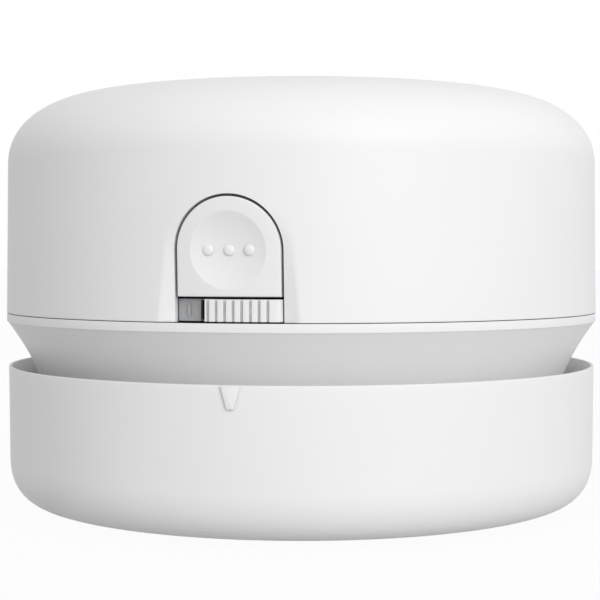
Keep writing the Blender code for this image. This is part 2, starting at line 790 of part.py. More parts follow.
def exhaust_cutter():
    """One box for each exhaust slot, in the middle of every other facet of the neck."""
    bm = bmesh.new()
    inner = spigot_bore + HOUSING_WALL / 2
    outer = flare_radius(exhaust_top) + OVERRUN
    size = (outer - inner, EXHAUST_WIDTH, EXHAUST_HEIGHT)
    middle = Vector(((outer + inner) / 2, 0, (exhaust_low + exhaust_top) / 2))
    for i in range(EXHAUST_COUNT):
        turn = Matrix.Rotation(math.tau * (i + 0.25) / EXHAUST_COUNT, 4, "Z")
        place = turn @ Matrix.Translation(middle) @ Matrix.Diagonal((*size, 1.0))
        bmesh.ops.create_cube(bm, size=1.0, matrix=place)
    mesh = bpy.data.meshes.new("exhaust_cut")
    bm.to_mesh(mesh)
    bm.free()
    return add_object("exhaust_cut", mesh)


def collar_gasket():
    """The soft ring between the neck's shoulder and the cup's collar."""
    low = collar_top + FIT_GAP
    outline = ring_outline(collar_bore, collar_radius, low, low + GASKET_THICKNESS)
    return turned("collar_gasket", outline, INNER_SEGMENTS, rubber(), ring=True)


def filter_frame():
    """A flanged sleeve that plugs into the housing's floor from below."""
    sleeve = filter_opening - FIT_GAP
    bore = sleeve - FILTER_SLEEVE
    flange_top = spigot_low - FIT_GAP
    flange_low = flange_top - FILTER_FLANGE_THICKNESS
    outline = [
        (sleeve, housing_floor - FIT_GAP),
        (sleeve, flange_top),
        (filter_opening + FILTER_FLANGE, flange_top),
        (filter_opening + FILTER_FLANGE, flange_low),
        (bore - FILTER_LEDGE, flange_low),
        (bore - FILTER_LEDGE, flange_top),
        (bore, flange_top),
        (bore, housing_floor - FIT_GAP),
    ]
    return turned("filter_frame", outline, INNER_SEGMENTS, grey_plastic(), ring=True)


def filter_pad():
    """The washable pad that lies on the frame's ledge."""
    bore = filter_opening - FIT_GAP - FILTER_SLEEVE
    outline = disc_outline(bore - FIT_GAP, spigot_low, spigot_low + FILTER_PAD_THICKNESS)
    felt = material("filter_felt", (0.7, 0.7, 0.68), 0.95)
    return turned("filter_pad", outline, INNER_SEGMENTS, felt)


def motor_deck():
    """The plate over the impeller, with the motor's ring and the board's posts."""
    radius = flare_radius(deck_low) - HOUSING_WALL - FIT_GAP
    disc = disc_outline(radius, deck_low, deck_top)
    deck = turned("motor_deck", disc, INNER_SEGMENTS, grey_plastic())
    sunk = deck_low + DECK_THICKNESS / 2
    ring = turned(
        "cradle_ring_join",
        ring_outline(cradle_bore, cradle_radius, sunk, deck_seat + DAMPER_HEIGHT),
        INNER_SEGMENTS, ring=True,
    )
    posts = rods(
        "board_post_join", board_post_places(), BOARD_POST_RADIUS, sunk, board_low - FIT_GAP,
    )
    join(deck, ring, posts)
    nose = rods(
        "nose_cut", [(0, 0)], SHAFT_RADIUS + 3 * FIT_GAP, deck_low - OVERRUN, deck_top + OVERRUN,
    )
    columns = rods(
        "column_clearance_cut", shell_post_places(), column_radius + FIT_GAP,
        deck_low - OVERRUN, deck_top + OVERRUN, segments=COLUMN_SEGMENTS,
    )
    screws = rods(
        "deck_screw_cut", deck_post_places() + motor_screw_places() + bracket_screw_places(),
        SMALL_SCREW_SHANK + FIT_GAP, deck_low - OVERRUN, deck_top + OVERRUN,
    )
    half = LATCH_WIDTH / 2 + FIT_GAP
    slot = blocks("latch_slot_cut", [(
        (-half, -latch_front - 2 * FIT_GAP, deck_low - OVERRUN),
        (half, -latch_back + PRESS_TRAVEL + FIT_GAP, deck_top + OVERRUN),
    )])
    cut(deck, nose, columns, screws, slot)
    return deck


def board_post_places():
    depth = board_front + BOARD_POST_RADIUS + FIT_GAP
    return [(-BOARD_POST_SPREAD, depth), (BOARD_POST_SPREAD, depth)]


def motor_screw_places():
    return [(-MOTOR_SCREW_CIRCLE, 0), (MOTOR_SCREW_CIRCLE, 0)]


def bracket_screw_places():
    depth = bracket_foot / 2 - bracket_back
    return [(-BRACKET_SCREW_SPREAD, depth), (BRACKET_SCREW_SPREAD, depth)]


def screw(name, place, seat, shank, head, head_height, length, points_up=False):
    """One screw: seat is the height of the face that its head bears on."""
    way = -1 if points_up else 1
    outline = [
        (0, seat + way * head_height),
        (head, seat + way * head_height),
        (head, seat),
        (shank, seat),
        (shank, seat - way * length),
        (0, seat - way * length),
    ]
    if points_up:
        outline.reverse()
    obj = turned(name, outline, SMALL_SEGMENTS, steel())
    obj.location = (*place, 0)
    return obj


def screws():
    """All the fasteners of the motor unit."""
    made = []
    for number, place in enumerate(shell_post_places(), 1):
        made.append(screw(
            "shell_screw_%d" % number, place, screw_seat() - FIT_GAP, SHELL_SCREW_SHANK,
            SHELL_SCREW_HEAD, SHELL_SCREW_HEAD_HEIGHT, SHELL_SCREW_LENGTH, points_up=True,
        ))
    for number, place in enumerate(deck_post_places(), 1):
        made.append(screw(
            "deck_screw_%d" % number, place, deck_seat, SMALL_SCREW_SHANK,
            SMALL_SCREW_HEAD, SMALL_SCREW_HEAD_HEIGHT, DECK_SCREW_LENGTH,
        ))
    for number, place in enumerate(motor_screw_places(), 1):
        made.append(screw(
            "motor_screw_%d" % number, place, deck_low - FIT_GAP, SMALL_SCREW_SHANK,
            SMALL_SCREW_HEAD, SMALL_SCREW_HEAD_HEIGHT, MOTOR_SCREW_LENGTH, points_up=True,
        ))
    for number, place in enumerate(bracket_screw_places(), 1):
        made.append(screw(
            "bracket_screw_%d" % number, place, deck_seat + BRACKET_THICKNESS + FIT_GAP,
            SMALL_SCREW_SHANK, SMALL_SCREW_HEAD, SMALL_SCREW_HEAD_HEIGHT, BRACKET_SCREW_LENGTH,
        ))
    return made


def motor():
    """The can with its pilot holes, its end cap and the rubber damper round it."""
    edge = MOTOR_EDGE
    outline = [
        (0, motor_top), (MOTOR_RADIUS - edge, motor_top), (MOTOR_RADIUS, motor_top - edge),
        (MOTOR_RADIUS, deck_seat), (0, deck_seat),
    ]
    can = turned("motor_can", outline, INNER_SEGMENTS, steel())
    reach = deck_low - FIT_GAP + MOTOR_SCREW_LENGTH + FIT_GAP
    pilots = rods(
        "motor_pilot_cut", motor_screw_places(), SMALL_SCREW_SHANK + FIT_GAP,
        deck_seat - OVERRUN, reach,
    )
    bearing = rods(
        "motor_bearing_cut", [(0, 0)], SHAFT_RADIUS + FIT_GAP, deck_seat - OVERRUN,
        deck_seat + SHAFT_SEAT + FIT_GAP,
    )
    cut(can, pilots, bearing)
    cap_low = motor_top + FIT_GAP
    cap = turned(
        "motor_end_cap", disc_outline(MOTOR_CAP_RADIUS, cap_low, cap_low + MOTOR_CAP_HEIGHT),
        INNER_SEGMENTS, dark_plastic(),
    )
    damper = turned(
        "motor_damper",
        ring_outline(damper_bore, damper_radius, deck_seat, deck_seat + DAMPER_HEIGHT),
        INNER_SEGMENTS, rubber(), ring=True,
    )
    return can, cap, damper


def impeller():
    """A hub, a back plate and leaning blades, on the motor's shaft."""
    hub_low = impeller_low
    outline = [
        (impeller_radius, impeller_top),
        (impeller_radius, impeller_top - IMPELLER_PLATE),
        (IMPELLER_HUB, impeller_top - IMPELLER_PLATE),
        (IMPELLER_HUB, hub_low),
        (SHAFT_RADIUS + FIT_GAP, hub_low),
        (SHAFT_RADIUS + FIT_GAP, impeller_top),
    ]
    wheel = turned("impeller", outline, INNER_SEGMENTS, grey_plastic(), ring=True)
    bm = bmesh.new()
    inner = IMPELLER_HUB - BLADE_THICKNESS
    outer = impeller_radius - BLADE_THICKNESS
    span = outer - inner
    high = impeller_top - IMPELLER_PLATE / 2
    size = (span, BLADE_THICKNESS, high - hub_low - FIT_GAP)
    lean = Matrix.Rotation(math.radians(BLADE_LEAN), 4, "Z")
    for i in range(BLADE_COUNT):
        turn = Matrix.Rotation(math.tau * i / BLADE_COUNT, 4, "Z")
        root = Matrix.Translation((inner, 0, (high + hub_low + FIT_GAP) / 2))
        shrink = math.cos(math.radians(BLADE_LEAN) / 2)
        place = turn @ root @ lean @ Matrix.Translation((span * shrink / 2, 0, 0))
        bmesh.ops.create_cube(
            bm, size=1.0, matrix=place @ Matrix.Diagonal((size[0] * shrink, size[1], size[2], 1.0)),
        )
    mesh = bpy.data.meshes.new("blade_join")
    bm.to_mesh(mesh)
    bm.free()
    join(wheel, add_object("blade_join", mesh))
    shaft = turned(
        "motor_shaft", disc_outline(SHAFT_RADIUS, hub_low + FIT_GAP, deck_seat + SHAFT_SEAT),
        SMALL_SEGMENTS, steel(),
    )
    return wheel, shaft


def battery():
    """A lithium cell lying across the back, in a trough on the deck."""
    length = cell_length
    button_share = 0.4
    step = 2 * FIT_GAP
    outline = [
        (0, length / 2), (cell_radius * button_share, length / 2),
        (cell_radius * button_share, length / 2 - step), (cell_radius, length / 2 - step),
        (cell_radius, -length / 2), (0, -length / 2),
    ]
    cell = turned(
        "battery_cell", outline, CELL_SEGMENTS, material("cell_wrap", (0.05, 0.2, 0.42), 0.35),
    )
    cell.rotation_euler = (0, math.pi / 2, 0)
    cell.location = (0, cell_depth, cell_height)
    half = length / 2 - CRADLE_END_GAP
    wide = cell_radius * CRADLE_WIDTH_SHARE
    saddle = blocks("battery_cradle", [(
        (-half, cell_depth - wide, deck_seat),
        (half, cell_depth + wide, deck_seat + CRADLE_HEIGHT),
    )], grey_plastic())
    trough = turned(
        "trough_cut", disc_outline(cell_radius + FIT_GAP, -length / 2, length / 2), CELL_SEGMENTS,
    )
    trough.rotation_euler = (0, math.pi / 2, 0)
    trough.location = (0, cell_depth, cell_height)
    cut(saddle, trough)
    return cell, saddle


def rounded_slot(half_width, half_height, middle, steps=5):
    """Return a slot outline with round ends as (x, z) points, clockwise from the top right."""
    points = []
    for side in (1, -1):
        for i in range(steps + 1):
            angle = side * math.pi / 2 - math.pi * i / steps
            x = side * (half_width - half_height) + half_height * math.cos(angle)
            points.append((x, middle + half_height * math.sin(angle)))
    return points


def charging():
    """The board on its posts, with the socket and the light guide on it."""
    board = blocks("charge_board", [(
        (-BOARD_WIDTH / 2, board_front, board_low),
        (BOARD_WIDTH / 2, board_back, board_top),
    )], material("board_green", (0.03, 0.16, 0.07), 0.45))
    half = SOCKET_WIDTH / 2
    high = SOCKET_HEIGHT / 2
    outline = rounded_slot(half, high, socket_middle)
    socket = plate("charge_socket", outline, socket_mouth, socket_end, steel())
    hollow = plate(
        "socket_cut", rounded_slot(half - SOCKET_SKIN, high - SOCKET_SKIN, socket_middle),
        socket_mouth + OVERRUN, socket_mouth - SOCKET_DEPTH,
    )
    cut(socket, hollow)
    tongue = blocks("tongue_join", [(
        (-TONGUE_WIDTH / 2, socket_mouth - SOCKET_DEPTH - SOCKET_SKIN, socket_middle - TONGUE_HEIGHT / 2),
        (TONGUE_WIDTH / 2, socket_mouth - TONGUE_SET_BACK, socket_middle + TONGUE_HEIGHT / 2),
    )])
    join(socket, tongue)
    light = cross_rod(
        "charge_light", (LIGHT_OFFSET, light_end() - LIGHT_LENGTH, light_height()), LIGHT_RADIUS,
        LIGHT_LENGTH, material("clear_guide", (0.8, 0.85, 0.85), 0.15),
    )
    return board, socket, light


def light_height():
    return board_top + FIT_GAP + LIGHT_RADIUS


def light_end():
    """The light guide ends just under the shell's surface, where that bends back."""
    return math.sqrt(BODY_RADIUS ** 2 - LIGHT_OFFSET ** 2) - LIGHT_SET_BACK - FIT_GAP


def roof_height(radius):
    """Return the height of the shell's outer surface over a radius in its round corner."""
    share = (radius - BODY_RADIUS + SHELL_DRAFT + SHELL_CORNER_DEPTH) / SHELL_CORNER_DEPTH
    bulge = (1 - min(1.0, max(0.0, share)) ** SHELL_POWER) ** (1 / SHELL_POWER)
    return shell_corner + SHELL_CORNER_HEIGHT * bulge


def top_shell():
    """The domed cover, with the scooped arch at the front and the port at the back."""
    flat = BODY_RADIUS - SHELL_DRAFT - SHELL_CORNER_DEPTH
    outer = corner(
        flat, SHELL_CORNER_DEPTH, shell_corner, SHELL_CORNER_HEIGHT, SHELL_POWER, SHELL_STEPS,
    )
    inner = corner(
        flat, SHELL_CORNER_DEPTH - SHELL_WALL, shell_corner, SHELL_CORNER_HEIGHT - SHELL_WALL,
        SHELL_POWER, SHELL_INNER_STEPS,
    )
    outline = [(0, shell_apex), (flat / 2, shell_apex - CROWN_RISE / 4)]
    outline += outer[::-1]
    outline += [(BODY_RADIUS, shell_low), (BODY_RADIUS - SHELL_WALL, shell_low)]
    outline += inner
    outline += [(flat / 2, shell_apex - CROWN_RISE / 4 - SHELL_WALL), (0, shell_apex - SHELL_WALL)]
    shell = turned("top_shell", outline, SHELL_SEGMENTS, white_plastic())
    boss_radius = SHELL_SCREW_SHANK + FIT_GAP + SHELL_BOSS_WALL
    bosses = rods(
        "boss_join", shell_post_places(), boss_radius, column_top() + FIT_GAP,
        roof_height(post_circle + boss_radius) - FIT_GAP,
    )
    join(shell, bosses)
    pilot_top = screw_seat() - FIT_GAP + SHELL_SCREW_LENGTH + FIT_GAP
    pilots = rods(
        "boss_pilot_cut", shell_post_places(), SHELL_SCREW_SHANK + FIT_GAP,
        column_top() - OVERRUN, pilot_top,
    )
    port = plate(
        "port_cut",
        rounded_slot(SOCKET_WIDTH / 2 + PORT_MARGIN, SOCKET_HEIGHT / 2 + PORT_MARGIN, socket_middle),
        BODY_RADIUS + OVERRUN, BODY_RADIUS - SHELL_WALL - OVERRUN,
    )
    guide = cross_rod(
        "light_cut", (LIGHT_OFFSET, light_end() - LIGHT_LENGTH, light_height()),
        LIGHT_RADIUS + FIT_GAP, LIGHT_LENGTH + OVERRUN,
    )
    cut(shell, pilots, arch_pocket(), port, guide)
    return shell


def arch_pocket():
    """The arched hole and the slopes that lead down to it from the shell's surface."""
    low = shell_low - OVERRUN
    hole = arch(hole_half, low, button_apex + BUTTON_GAP)
    centre = button_apex + BUTTON_GAP - hole_half
    back = [(x, -(BODY_RADIUS - SHELL_WALL - OVERRUN), z) for x, z in hole]
    edge = []
    front = []
    for x, z in hole:
        radius = panel_radius(min(z, button_apex))
        edge.append((x, -math.sqrt(radius ** 2 - x ** 2), z))
        rise = BODY_RADIUS + OVERRUN - radius
        spread = rise * POCKET_SLOPE_SHARE
        away = Vector((x, max(z - centre, 0)))
        away.normalize()
        outward = Vector((x, z)) + away * spread
        drop = -math.sqrt((BODY_RADIUS + OVERRUN) ** 2 - x ** 2)
        front.append((outward.x, drop, outward.y))
    return loft("arch_pocket_cut", [back, edge, front])


def release_button():
    """The arched button: leaning front face, dish with three pips, and its flange."""
    outline = [
        (panel_radius(button_apex + OVERRUN), button_apex + OVERRUN),
        (panel_radius(button_low - OVERRUN), button_low - OVERRUN),
        (button_back_radius, button_low - OVERRUN),
        (button_back_radius, button_apex + OVERRUN),
    ]
    button = turned("release_button", outline, PANEL_SEGMENTS, white_plastic(), ring=True)
    face = plate(
        "button_outline", arch(button_half, button_low, button_apex),
        -BODY_RADIUS - OVERRUN, -switch_front + OVERRUN,
    )
    boolean(button, face, "INTERSECT")
    wide = button_half + FLANGE_MARGIN
    flange_outline = ring_outline(
        button_back_radius, button_back_radius + FLANGE_THICKNESS, button_low,
        button_apex + FLANGE_MARGIN + OVERRUN,
    )
    flange = turned("flange_join", flange_outline, PANEL_SEGMENTS, ring=True)
    rim = plate(
        "flange_outline", arch(wide, button_low, button_apex + FLANGE_MARGIN),
        -BODY_RADIUS, -switch_front + OVERRUN,
    )
    boolean(flange, rim, "INTERSECT")
    join(button, flange)
    cut(button, dish_cutter())
    pips = pip_solids()
    join(button, pips)
    pin = cross_rod(
        "button_pin_join", (0, -button_back_radius - FLANGE_THICKNESS / 2, spring_height),
        SPRING_PIN_RADIUS, SPRING_PIN_LENGTH + FLANGE_THICKNESS / 2,
    )
    join(button, pin)
    return button


def dish_floor(radius):
    """Return how far the dish is sunk at a radius from its centre."""
    ball = (DISH_RADIUS ** 2 + DISH_DEPTH ** 2) / (2 * DISH_DEPTH)
    return DISH_DEPTH - ball + math.sqrt(ball ** 2 - radius ** 2)


def dish_lean():
    """The button's face leans back at the foot by this angle."""
    span = button_apex - shell_low
    return math.atan2(PANEL_DEPTH_AT_SEAM - PANEL_DEPTH_AT_APEX, span)


def dish_cutter():
    """A lens turned about the dish's own axis, leaning with the face."""
    outline = []
    for i in range(DISH_STEPS + 1):
        radius = DISH_RADIUS * i / DISH_STEPS
        outline.append((radius, -dish_floor(radius)))
    outline.append((DISH_RADIUS, OVERRUN))
    outline.append((0, OVERRUN))
    outline.reverse()
    lens = turned("dish_cut", outline, INNER_SEGMENTS)
    lens.rotation_euler = (math.pi / 2 + dish_lean(), 0, 0)
    lens.location = (0, -panel_radius(dish_height), dish_height)
    return lens


def pip_solids():
    """Three small domes in a row that a fingertip can find."""
    bm = bmesh.new()
    for i in (-1, 0, 1):
        x = i * PIP_PITCH
        sunk = dish_floor(abs(x))
        place = Matrix.Translation((x, -panel_radius(dish_height) + sunk, dish_height))
        shape = Matrix.Diagonal((PIP_RADIUS, PIP_PROUD, PIP_RADIUS, 1.0))
        bmesh.ops.create_uvsphere(bm, u_segments=8, v_segments=6, radius=1.0, matrix=place @ shape)
    mesh = bpy.data.meshes.new("pip_join")
    bm.to_mesh(mesh)
    bm.free()
    return add_object("pip_join", mesh)


def latch_hook():
    """The arm behind the button, with the hook that holds the cup's collar."""
    half = LATCH_WIDTH / 2
    reach = collar_bore + HOOK_BITE
    front = button_back_radius - FIT_GAP
    # the arm's side view, as (y, z) points
    side = [
        (-front, bridge_top),
        (-front, bridge_low),
        (-latch_front, bridge_low),
        (-latch_front, hook_top),
        (-reach, hook_top),
        (-reach, hook_top - HOOK_HEIGHT / 2),
        (-latch_front - HOOK_BITE, hook_low),
        (-latch_back, hook_low),
        (-latch_back, bridge_top),
    ]
    left = [(-half, y, z) for y, z in side]
    right = [(half, y, z) for y, z in side]
    return loft("latch_hook", [left, right], grey_plastic())


def latch_bracket():
    """The upright that the button's spring pushes against."""
    half = BRACKET_WIDTH / 2
    bracket = blocks("latch_bracket", [(
        (-half, -bracket_front, deck_seat), (half, -bracket_front + BRACKET_THICKNESS, bracket_top),
    )], grey_plastic())
    foot = blocks("bracket_foot_join", [(
        (-half, -bracket_front + BRACKET_THICKNESS / 2, deck_seat),
        (half, bracket_foot - bracket_back, deck_seat + BRACKET_THICKNESS),
    )])
    pin = cross_rod(
        "bracket_pin_join", (0, -bracket_front - SPRING_PIN_LENGTH, spring_height), SPRING_PIN_RADIUS,
        SPRING_PIN_LENGTH + BRACKET_THICKNESS / 2,
    )
    join(bracket, foot, pin)
    holes = rods(
        "bracket_hole_cut", bracket_screw_places(), SMALL_SCREW_SHANK + FIT_GAP,
        deck_seat - OVERRUN, deck_seat + BRACKET_THICKNESS + OVERRUN,
    )
    cut(bracket, holes)
    return bracket


def tube(name, points, radius, finish, resolution=2):
    """A round wire through a list of points."""
    curve = bpy.data.curves.new(name, "CURVE")
    curve.dimensions = "3D"
    curve.bevel_depth = radius
    curve.bevel_resolution = resolution
    curve.use_fill_caps = True
    spline = curve.splines.new("POLY")
    spline.points.add(len(points) - 1)
    for point, place in zip(spline.points, points):
        point.co = (*place, 1)
    return meshed(name, bpy.data.objects.new(name + "_curve", curve), finish)


def button_spring():
    """A compression spring between the button's flange and the bracket."""
    start = -button_back_radius + FIT_GAP + SPRING_WIRE
    end = -bracket_front - FIT_GAP - SPRING_WIRE
    count = SPRING_TURNS * SPRING_STEPS
    points = []
    for i in range(count + 1):
        angle = math.tau * i / SPRING_STEPS
        points.append((
            SPRING_RADIUS * math.cos(angle),
            start + (end - start) * i / count,
            spring_height + SPRING_RADIUS * math.sin(angle),
        ))
    return tube("button_spring", points, SPRING_WIRE, steel(), resolution=1)


def lever_way(name, front, back):
    """The room that the slider's lever sweeps in the switch, with a gap all round."""
    half = LEVER_WIDTH / 2 + FIT_GAP
    high = LEVER_HEIGHT / 2 + FIT_GAP
    return blocks(name, [(
        (lever_place - SWITCH_TRAVEL - half, front, lever_middle - high),
        (lever_place + half, back, lever_middle + high),
    )])


def switch_plate():
    """The curved strip behind the slider, open in the middle but for two thin rails."""
    outline = ring_outline(plate_back, plate_radius, knob_low, knob_top)
    strip = turned("switch_plate", outline, PANEL_SEGMENTS, grey_plastic(), ring=True)
    frame = blocks("plate_outline", [(
        (-plate_half, -BODY_RADIUS - OVERRUN, knob_low - OVERRUN),
        (plate_half, -switch_front + OVERRUN, knob_top + OVERRUN),
    )])
    boolean(strip, frame, "INTERSECT")
    left = knob_left - PLATE_SLOT_SHOWING
    right = lever_place + LEVER_WIDTH / 2 + FIT_GAP
    rails = -plate_back - PLATE_RAIL_THICKNESS
    opening = blocks("opening_cut", [(
        (left, -BODY_RADIUS, knob_low + PLATE_RAIL_HEIGHT),
        (right, -switch_front + OVERRUN, knob_top - PLATE_RAIL_HEIGHT),
    )])
    step = blocks("rail_step_cut", [(
        (left, -BODY_RADIUS, knob_low - OVERRUN), (right, rails, knob_top + OVERRUN),
    )])
    cut(strip, opening, step)
    return strip


def switch_body():
    """The slide switch itself, on the housing's shelf."""
    body = blocks("switch_body", [(
        (-SWITCH_BODY_WIDTH / 2, -switch_front + FIT_GAP, knob_low),
        (SWITCH_BODY_WIDTH / 2, -switch_front + FIT_GAP + SWITCH_BODY_DEPTH, knob_top),
    )], dark_plastic())
    end = -switch_front + LEVER_REACH + 2 * FIT_GAP
    cut(body, lever_way("body_slot_cut", -switch_front - OVERRUN, end))
    return body


def switch_knob():
    """The ribbed slider, with its lever through the plate."""
    outline = ring_outline(knob_back_radius, knob_proud_radius, knob_low, knob_top)
    knob = turned("switch_knob", outline, PANEL_SEGMENTS, white_plastic(), ring=True)
    frame = blocks("knob_outline", [(
        (knob_left, -BODY_RADIUS - OVERRUN, knob_low - OVERRUN),
        (knob_right, -switch_front + OVERRUN, knob_top + OVERRUN),
    )])
    boolean(knob, frame, "INTERSECT")
    half = LEVER_WIDTH / 2
    high = LEVER_HEIGHT / 2
    lever = blocks("lever_join", [(
        (lever_place - half, -knob_back_radius - KNOB_THICKNESS / 2, lever_middle - high),
        (lever_place + half, -switch_front + FIT_GAP + LEVER_REACH, lever_middle + high),
    )])
    join(knob, lever)
    grooves = []
    for i in range(KNOB_GROOVES):
        x = knob_left + KNOB_FIRST_GROOVE + i * KNOB_GROOVE_PITCH
        y = -math.sqrt(knob_proud_radius ** 2 - x ** 2)
        grooves.append((
            (x - KNOB_GROOVE / 2, y - OVERRUN, knob_low - OVERRUN),
            (x + KNOB_GROOVE / 2, y + KNOB_GROOVE_DEPTH, knob_top + OVERRUN),
        ))
    cut(knob, blocks("groove_cut", grooves))
    return knob


def smooth_route(places, steps=3):
    """Read a smooth curve through the places of a wire."""
    ends = [places[0]] + list(places) + [places[-1]]
    route = []
    for a, b, c, d in zip(ends, ends[1:], ends[2:], ends[3:]):
        for i in range(steps):
            t = i / steps
            route.append(tuple(
                0.5 * (2 * q + (r - p) * t + (2 * p - 5 * q + 4 * r - s) * t * t
                       + (3 * q - p - 3 * r + s) * t * t * t)
                for p, q, r, s in zip(a, b, c, d)
            ))
    route.append(tuple(places[-1]))
    return route


def wires():
    """The leads between cell, board, switch and motor, each laid clear of its neighbours."""
    red = material("red_lead", (0.5, 0.03, 0.03), 0.4)
    black = material("black_lead", (0.02, 0.02, 0.02), 0.4)
    on_board = board_top + FIT_GAP
    on_cap = motor_top + MOTOR_CAP_HEIGHT + 2 * FIT_GAP
    end = cell_length / 2 + FIT_GAP + WIRE_RADIUS
    cell = cell_radius
    post = BOARD_POST_SPREAD
    made = []
    for side, name, colour in ((1, "cell_wire_red", red), (-1, "cell_wire_black", black)):
        made.append(tube(name, smooth_route([
            (side * end, cell_depth, cell_height),
            (side * (end + 3 * WIRE_RADIUS), cell_depth + cell / 2, cell_height + cell / 2),
            (side * (end - cell / 2), cell_depth + cell, cell_height + cell),
            (side * (post + cell / 2), board_front + WIRE_RADIUS, on_board + cell / 2),
            (side * (post + 2 * WIRE_RADIUS), board_front + 2 * WIRE_RADIUS, on_board),
        ]), WIRE_RADIUS, colour))
    made.append(tube("motor_wire_black", smooth_route([
        (post, board_front + WIRE_RADIUS, on_board),
        (post, board_front, on_board + cell),
        (post - WIRE_RADIUS, cell_depth, cell_height + 2 * cell),
        (MOTOR_CAP_RADIUS / 2, MOTOR_RADIUS + 3 * WIRE_RADIUS, on_cap + WIRE_RADIUS),
        (MOTOR_CAP_RADIUS / 3, MOTOR_CAP_RADIUS / 2, on_cap + 4 * WIRE_RADIUS),
        (MOTOR_CAP_RADIUS / 3, MOTOR_CAP_RADIUS / 3, on_cap + 2 * WIRE_RADIUS),
        (MOTOR_CAP_RADIUS / 3, MOTOR_CAP_RADIUS / 3, on_cap),
    ]), WIRE_RADIUS, black))
    switch_back = -switch_front + FIT_GAP + SWITCH_BODY_DEPTH + FIT_GAP
    aside = SWITCH_BODY_WIDTH / 2 - 2 * WIRE_RADIUS
    made.append(tube("motor_wire_red", smooth_route([
        (-aside, switch_back + WIRE_RADIUS, lever_middle),
        (-aside - 5 * WIRE_RADIUS, switch_back + 4 * WIRE_RADIUS, lever_middle + 3 * WIRE_RADIUS),
        (-BRACKET_WIDTH / 2 - 6 * WIRE_RADIUS, -bracket_front, cell_height + cell),
        (-BRACKET_WIDTH / 2 - 4 * WIRE_RADIUS, -MOTOR_RADIUS - cell, motor_top),
        (-MOTOR_CAP_RADIUS / 3, -MOTOR_CAP_RADIUS / 2, on_cap + 4 * WIRE_RADIUS),
        (-MOTOR_CAP_RADIUS / 3, -MOTOR_CAP_RADIUS / 3, on_cap + 2 * WIRE_RADIUS),
        (-MOTOR_CAP_RADIUS / 3, -MOTOR_CAP_RADIUS / 3, on_cap),
    ]), WIRE_RADIUS, red))
    ring = BODY_RADIUS - SHELL_WALL - 3 * WIRE_RADIUS
    over_lip = lip_top + 8 * WIRE_RADIUS
    high = lip_top + 14 * WIRE_RADIUS
    made.append(tube("switch_wire_red", smooth_route([
        (-post - 2 * WIRE_RADIUS, board_back - 2 * WIRE_RADIUS, on_board + WIRE_RADIUS),
        (*on_circle(ring, 110), on_board + 4 * WIRE_RADIUS),
        (*on_circle(ring, 133), high),
        (*on_circle(ring, 160), high),
        (*on_circle(ring, 190), over_lip),
        (*on_circle(ring, 220), over_lip),
        (*on_circle(ring, 242), lever_middle + 3 * WIRE_RADIUS),
        (-SWITCH_BODY_WIDTH / 2 - FIT_GAP - WIRE_RADIUS, switch_back - SWITCH_BODY_DEPTH / 4,
         lever_middle),
    ]), WIRE_RADIUS, red))
    return made


def joint_empty(name, place, pieces):
    """Hang a moving body's pieces on an empty that stands on its joint's axis."""
    empty = bpy.data.objects.new(name, None)
    empty.location = place
    empty.empty_display_size = FOOT_RADIUS
    bpy.context.scene.collection.objects.link(empty)
    bpy.context.view_layer.update()
    for piece in pieces:
        piece.parent = empty
        piece.matrix_parent_inverse = empty.matrix_world.inverted()
    return empty


def build():
    """Make every piece, and hang the moving ones on their joints."""
    dust_cup()
    glide_feet()
    brush_ring()
    unit = [
        top_shell(), lower_housing(), collar_gasket(), filter_frame(), filter_pad(), motor_deck(),
        switch_plate(), switch_body(), latch_bracket(), button_spring(),
    ]
    unit += motor()
    unit += battery()
    unit += charging()
    unit += screws()
    unit += wires()
    button = [release_button(), latch_hook()]
    knob = [switch_knob()]
    wheel = list(impeller())
    lift = joint_empty("lift_axis", (0, 0, neck_shoulder), unit)
    press = joint_empty("press_axis", (0, -BODY_RADIUS, dish_height), button)
    slide = joint_empty("slide_axis", (lever_place, -knob_proud_radius, lever_middle), knob)
    spin = joint_empty("spin_axis", (0, 0, impeller_low), wheel)
    for empty in (press, slide, spin):
        empty.parent = lift
        empty.matrix_parent_inverse = lift.matrix_world.inverted()
    shading = smooth_group()
    for piece in parts.objects:
        piece.modifiers.new("shade", "NODES").node_group = shading


build()
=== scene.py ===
# %% [markdown]
# The object is a small round vacuum cleaner for a desk: a white dust cup stands on four feet, and a
# domed motor unit sits in it, held by a hook that an arched button draws back. A ribbed slider under
# the button is the switch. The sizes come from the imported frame, so every piece made here lands on
# the solid that it dresses. Everything is in metres, with the front at -Y and the desk at z = 0.

# %% Load the frame
import json
import math
import random

import bmesh
import bpy
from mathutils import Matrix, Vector


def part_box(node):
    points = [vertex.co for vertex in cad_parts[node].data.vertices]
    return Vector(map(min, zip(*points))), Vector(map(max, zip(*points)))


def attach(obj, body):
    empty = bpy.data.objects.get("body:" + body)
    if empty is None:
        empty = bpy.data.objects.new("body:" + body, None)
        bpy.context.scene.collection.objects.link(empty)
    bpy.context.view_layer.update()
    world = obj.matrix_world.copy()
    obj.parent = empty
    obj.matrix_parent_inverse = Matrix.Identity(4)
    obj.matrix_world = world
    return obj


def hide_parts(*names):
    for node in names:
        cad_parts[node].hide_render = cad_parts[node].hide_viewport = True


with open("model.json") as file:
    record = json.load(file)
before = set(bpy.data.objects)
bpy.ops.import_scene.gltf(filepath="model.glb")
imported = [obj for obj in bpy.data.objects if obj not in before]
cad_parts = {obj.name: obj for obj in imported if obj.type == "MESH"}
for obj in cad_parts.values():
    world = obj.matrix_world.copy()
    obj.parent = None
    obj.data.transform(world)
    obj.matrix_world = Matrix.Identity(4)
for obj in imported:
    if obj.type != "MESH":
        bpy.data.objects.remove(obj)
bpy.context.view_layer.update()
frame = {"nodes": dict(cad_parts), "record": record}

MM = 0.001
FIT = 0.3 * MM
OVERRUN = 2.0 * MM

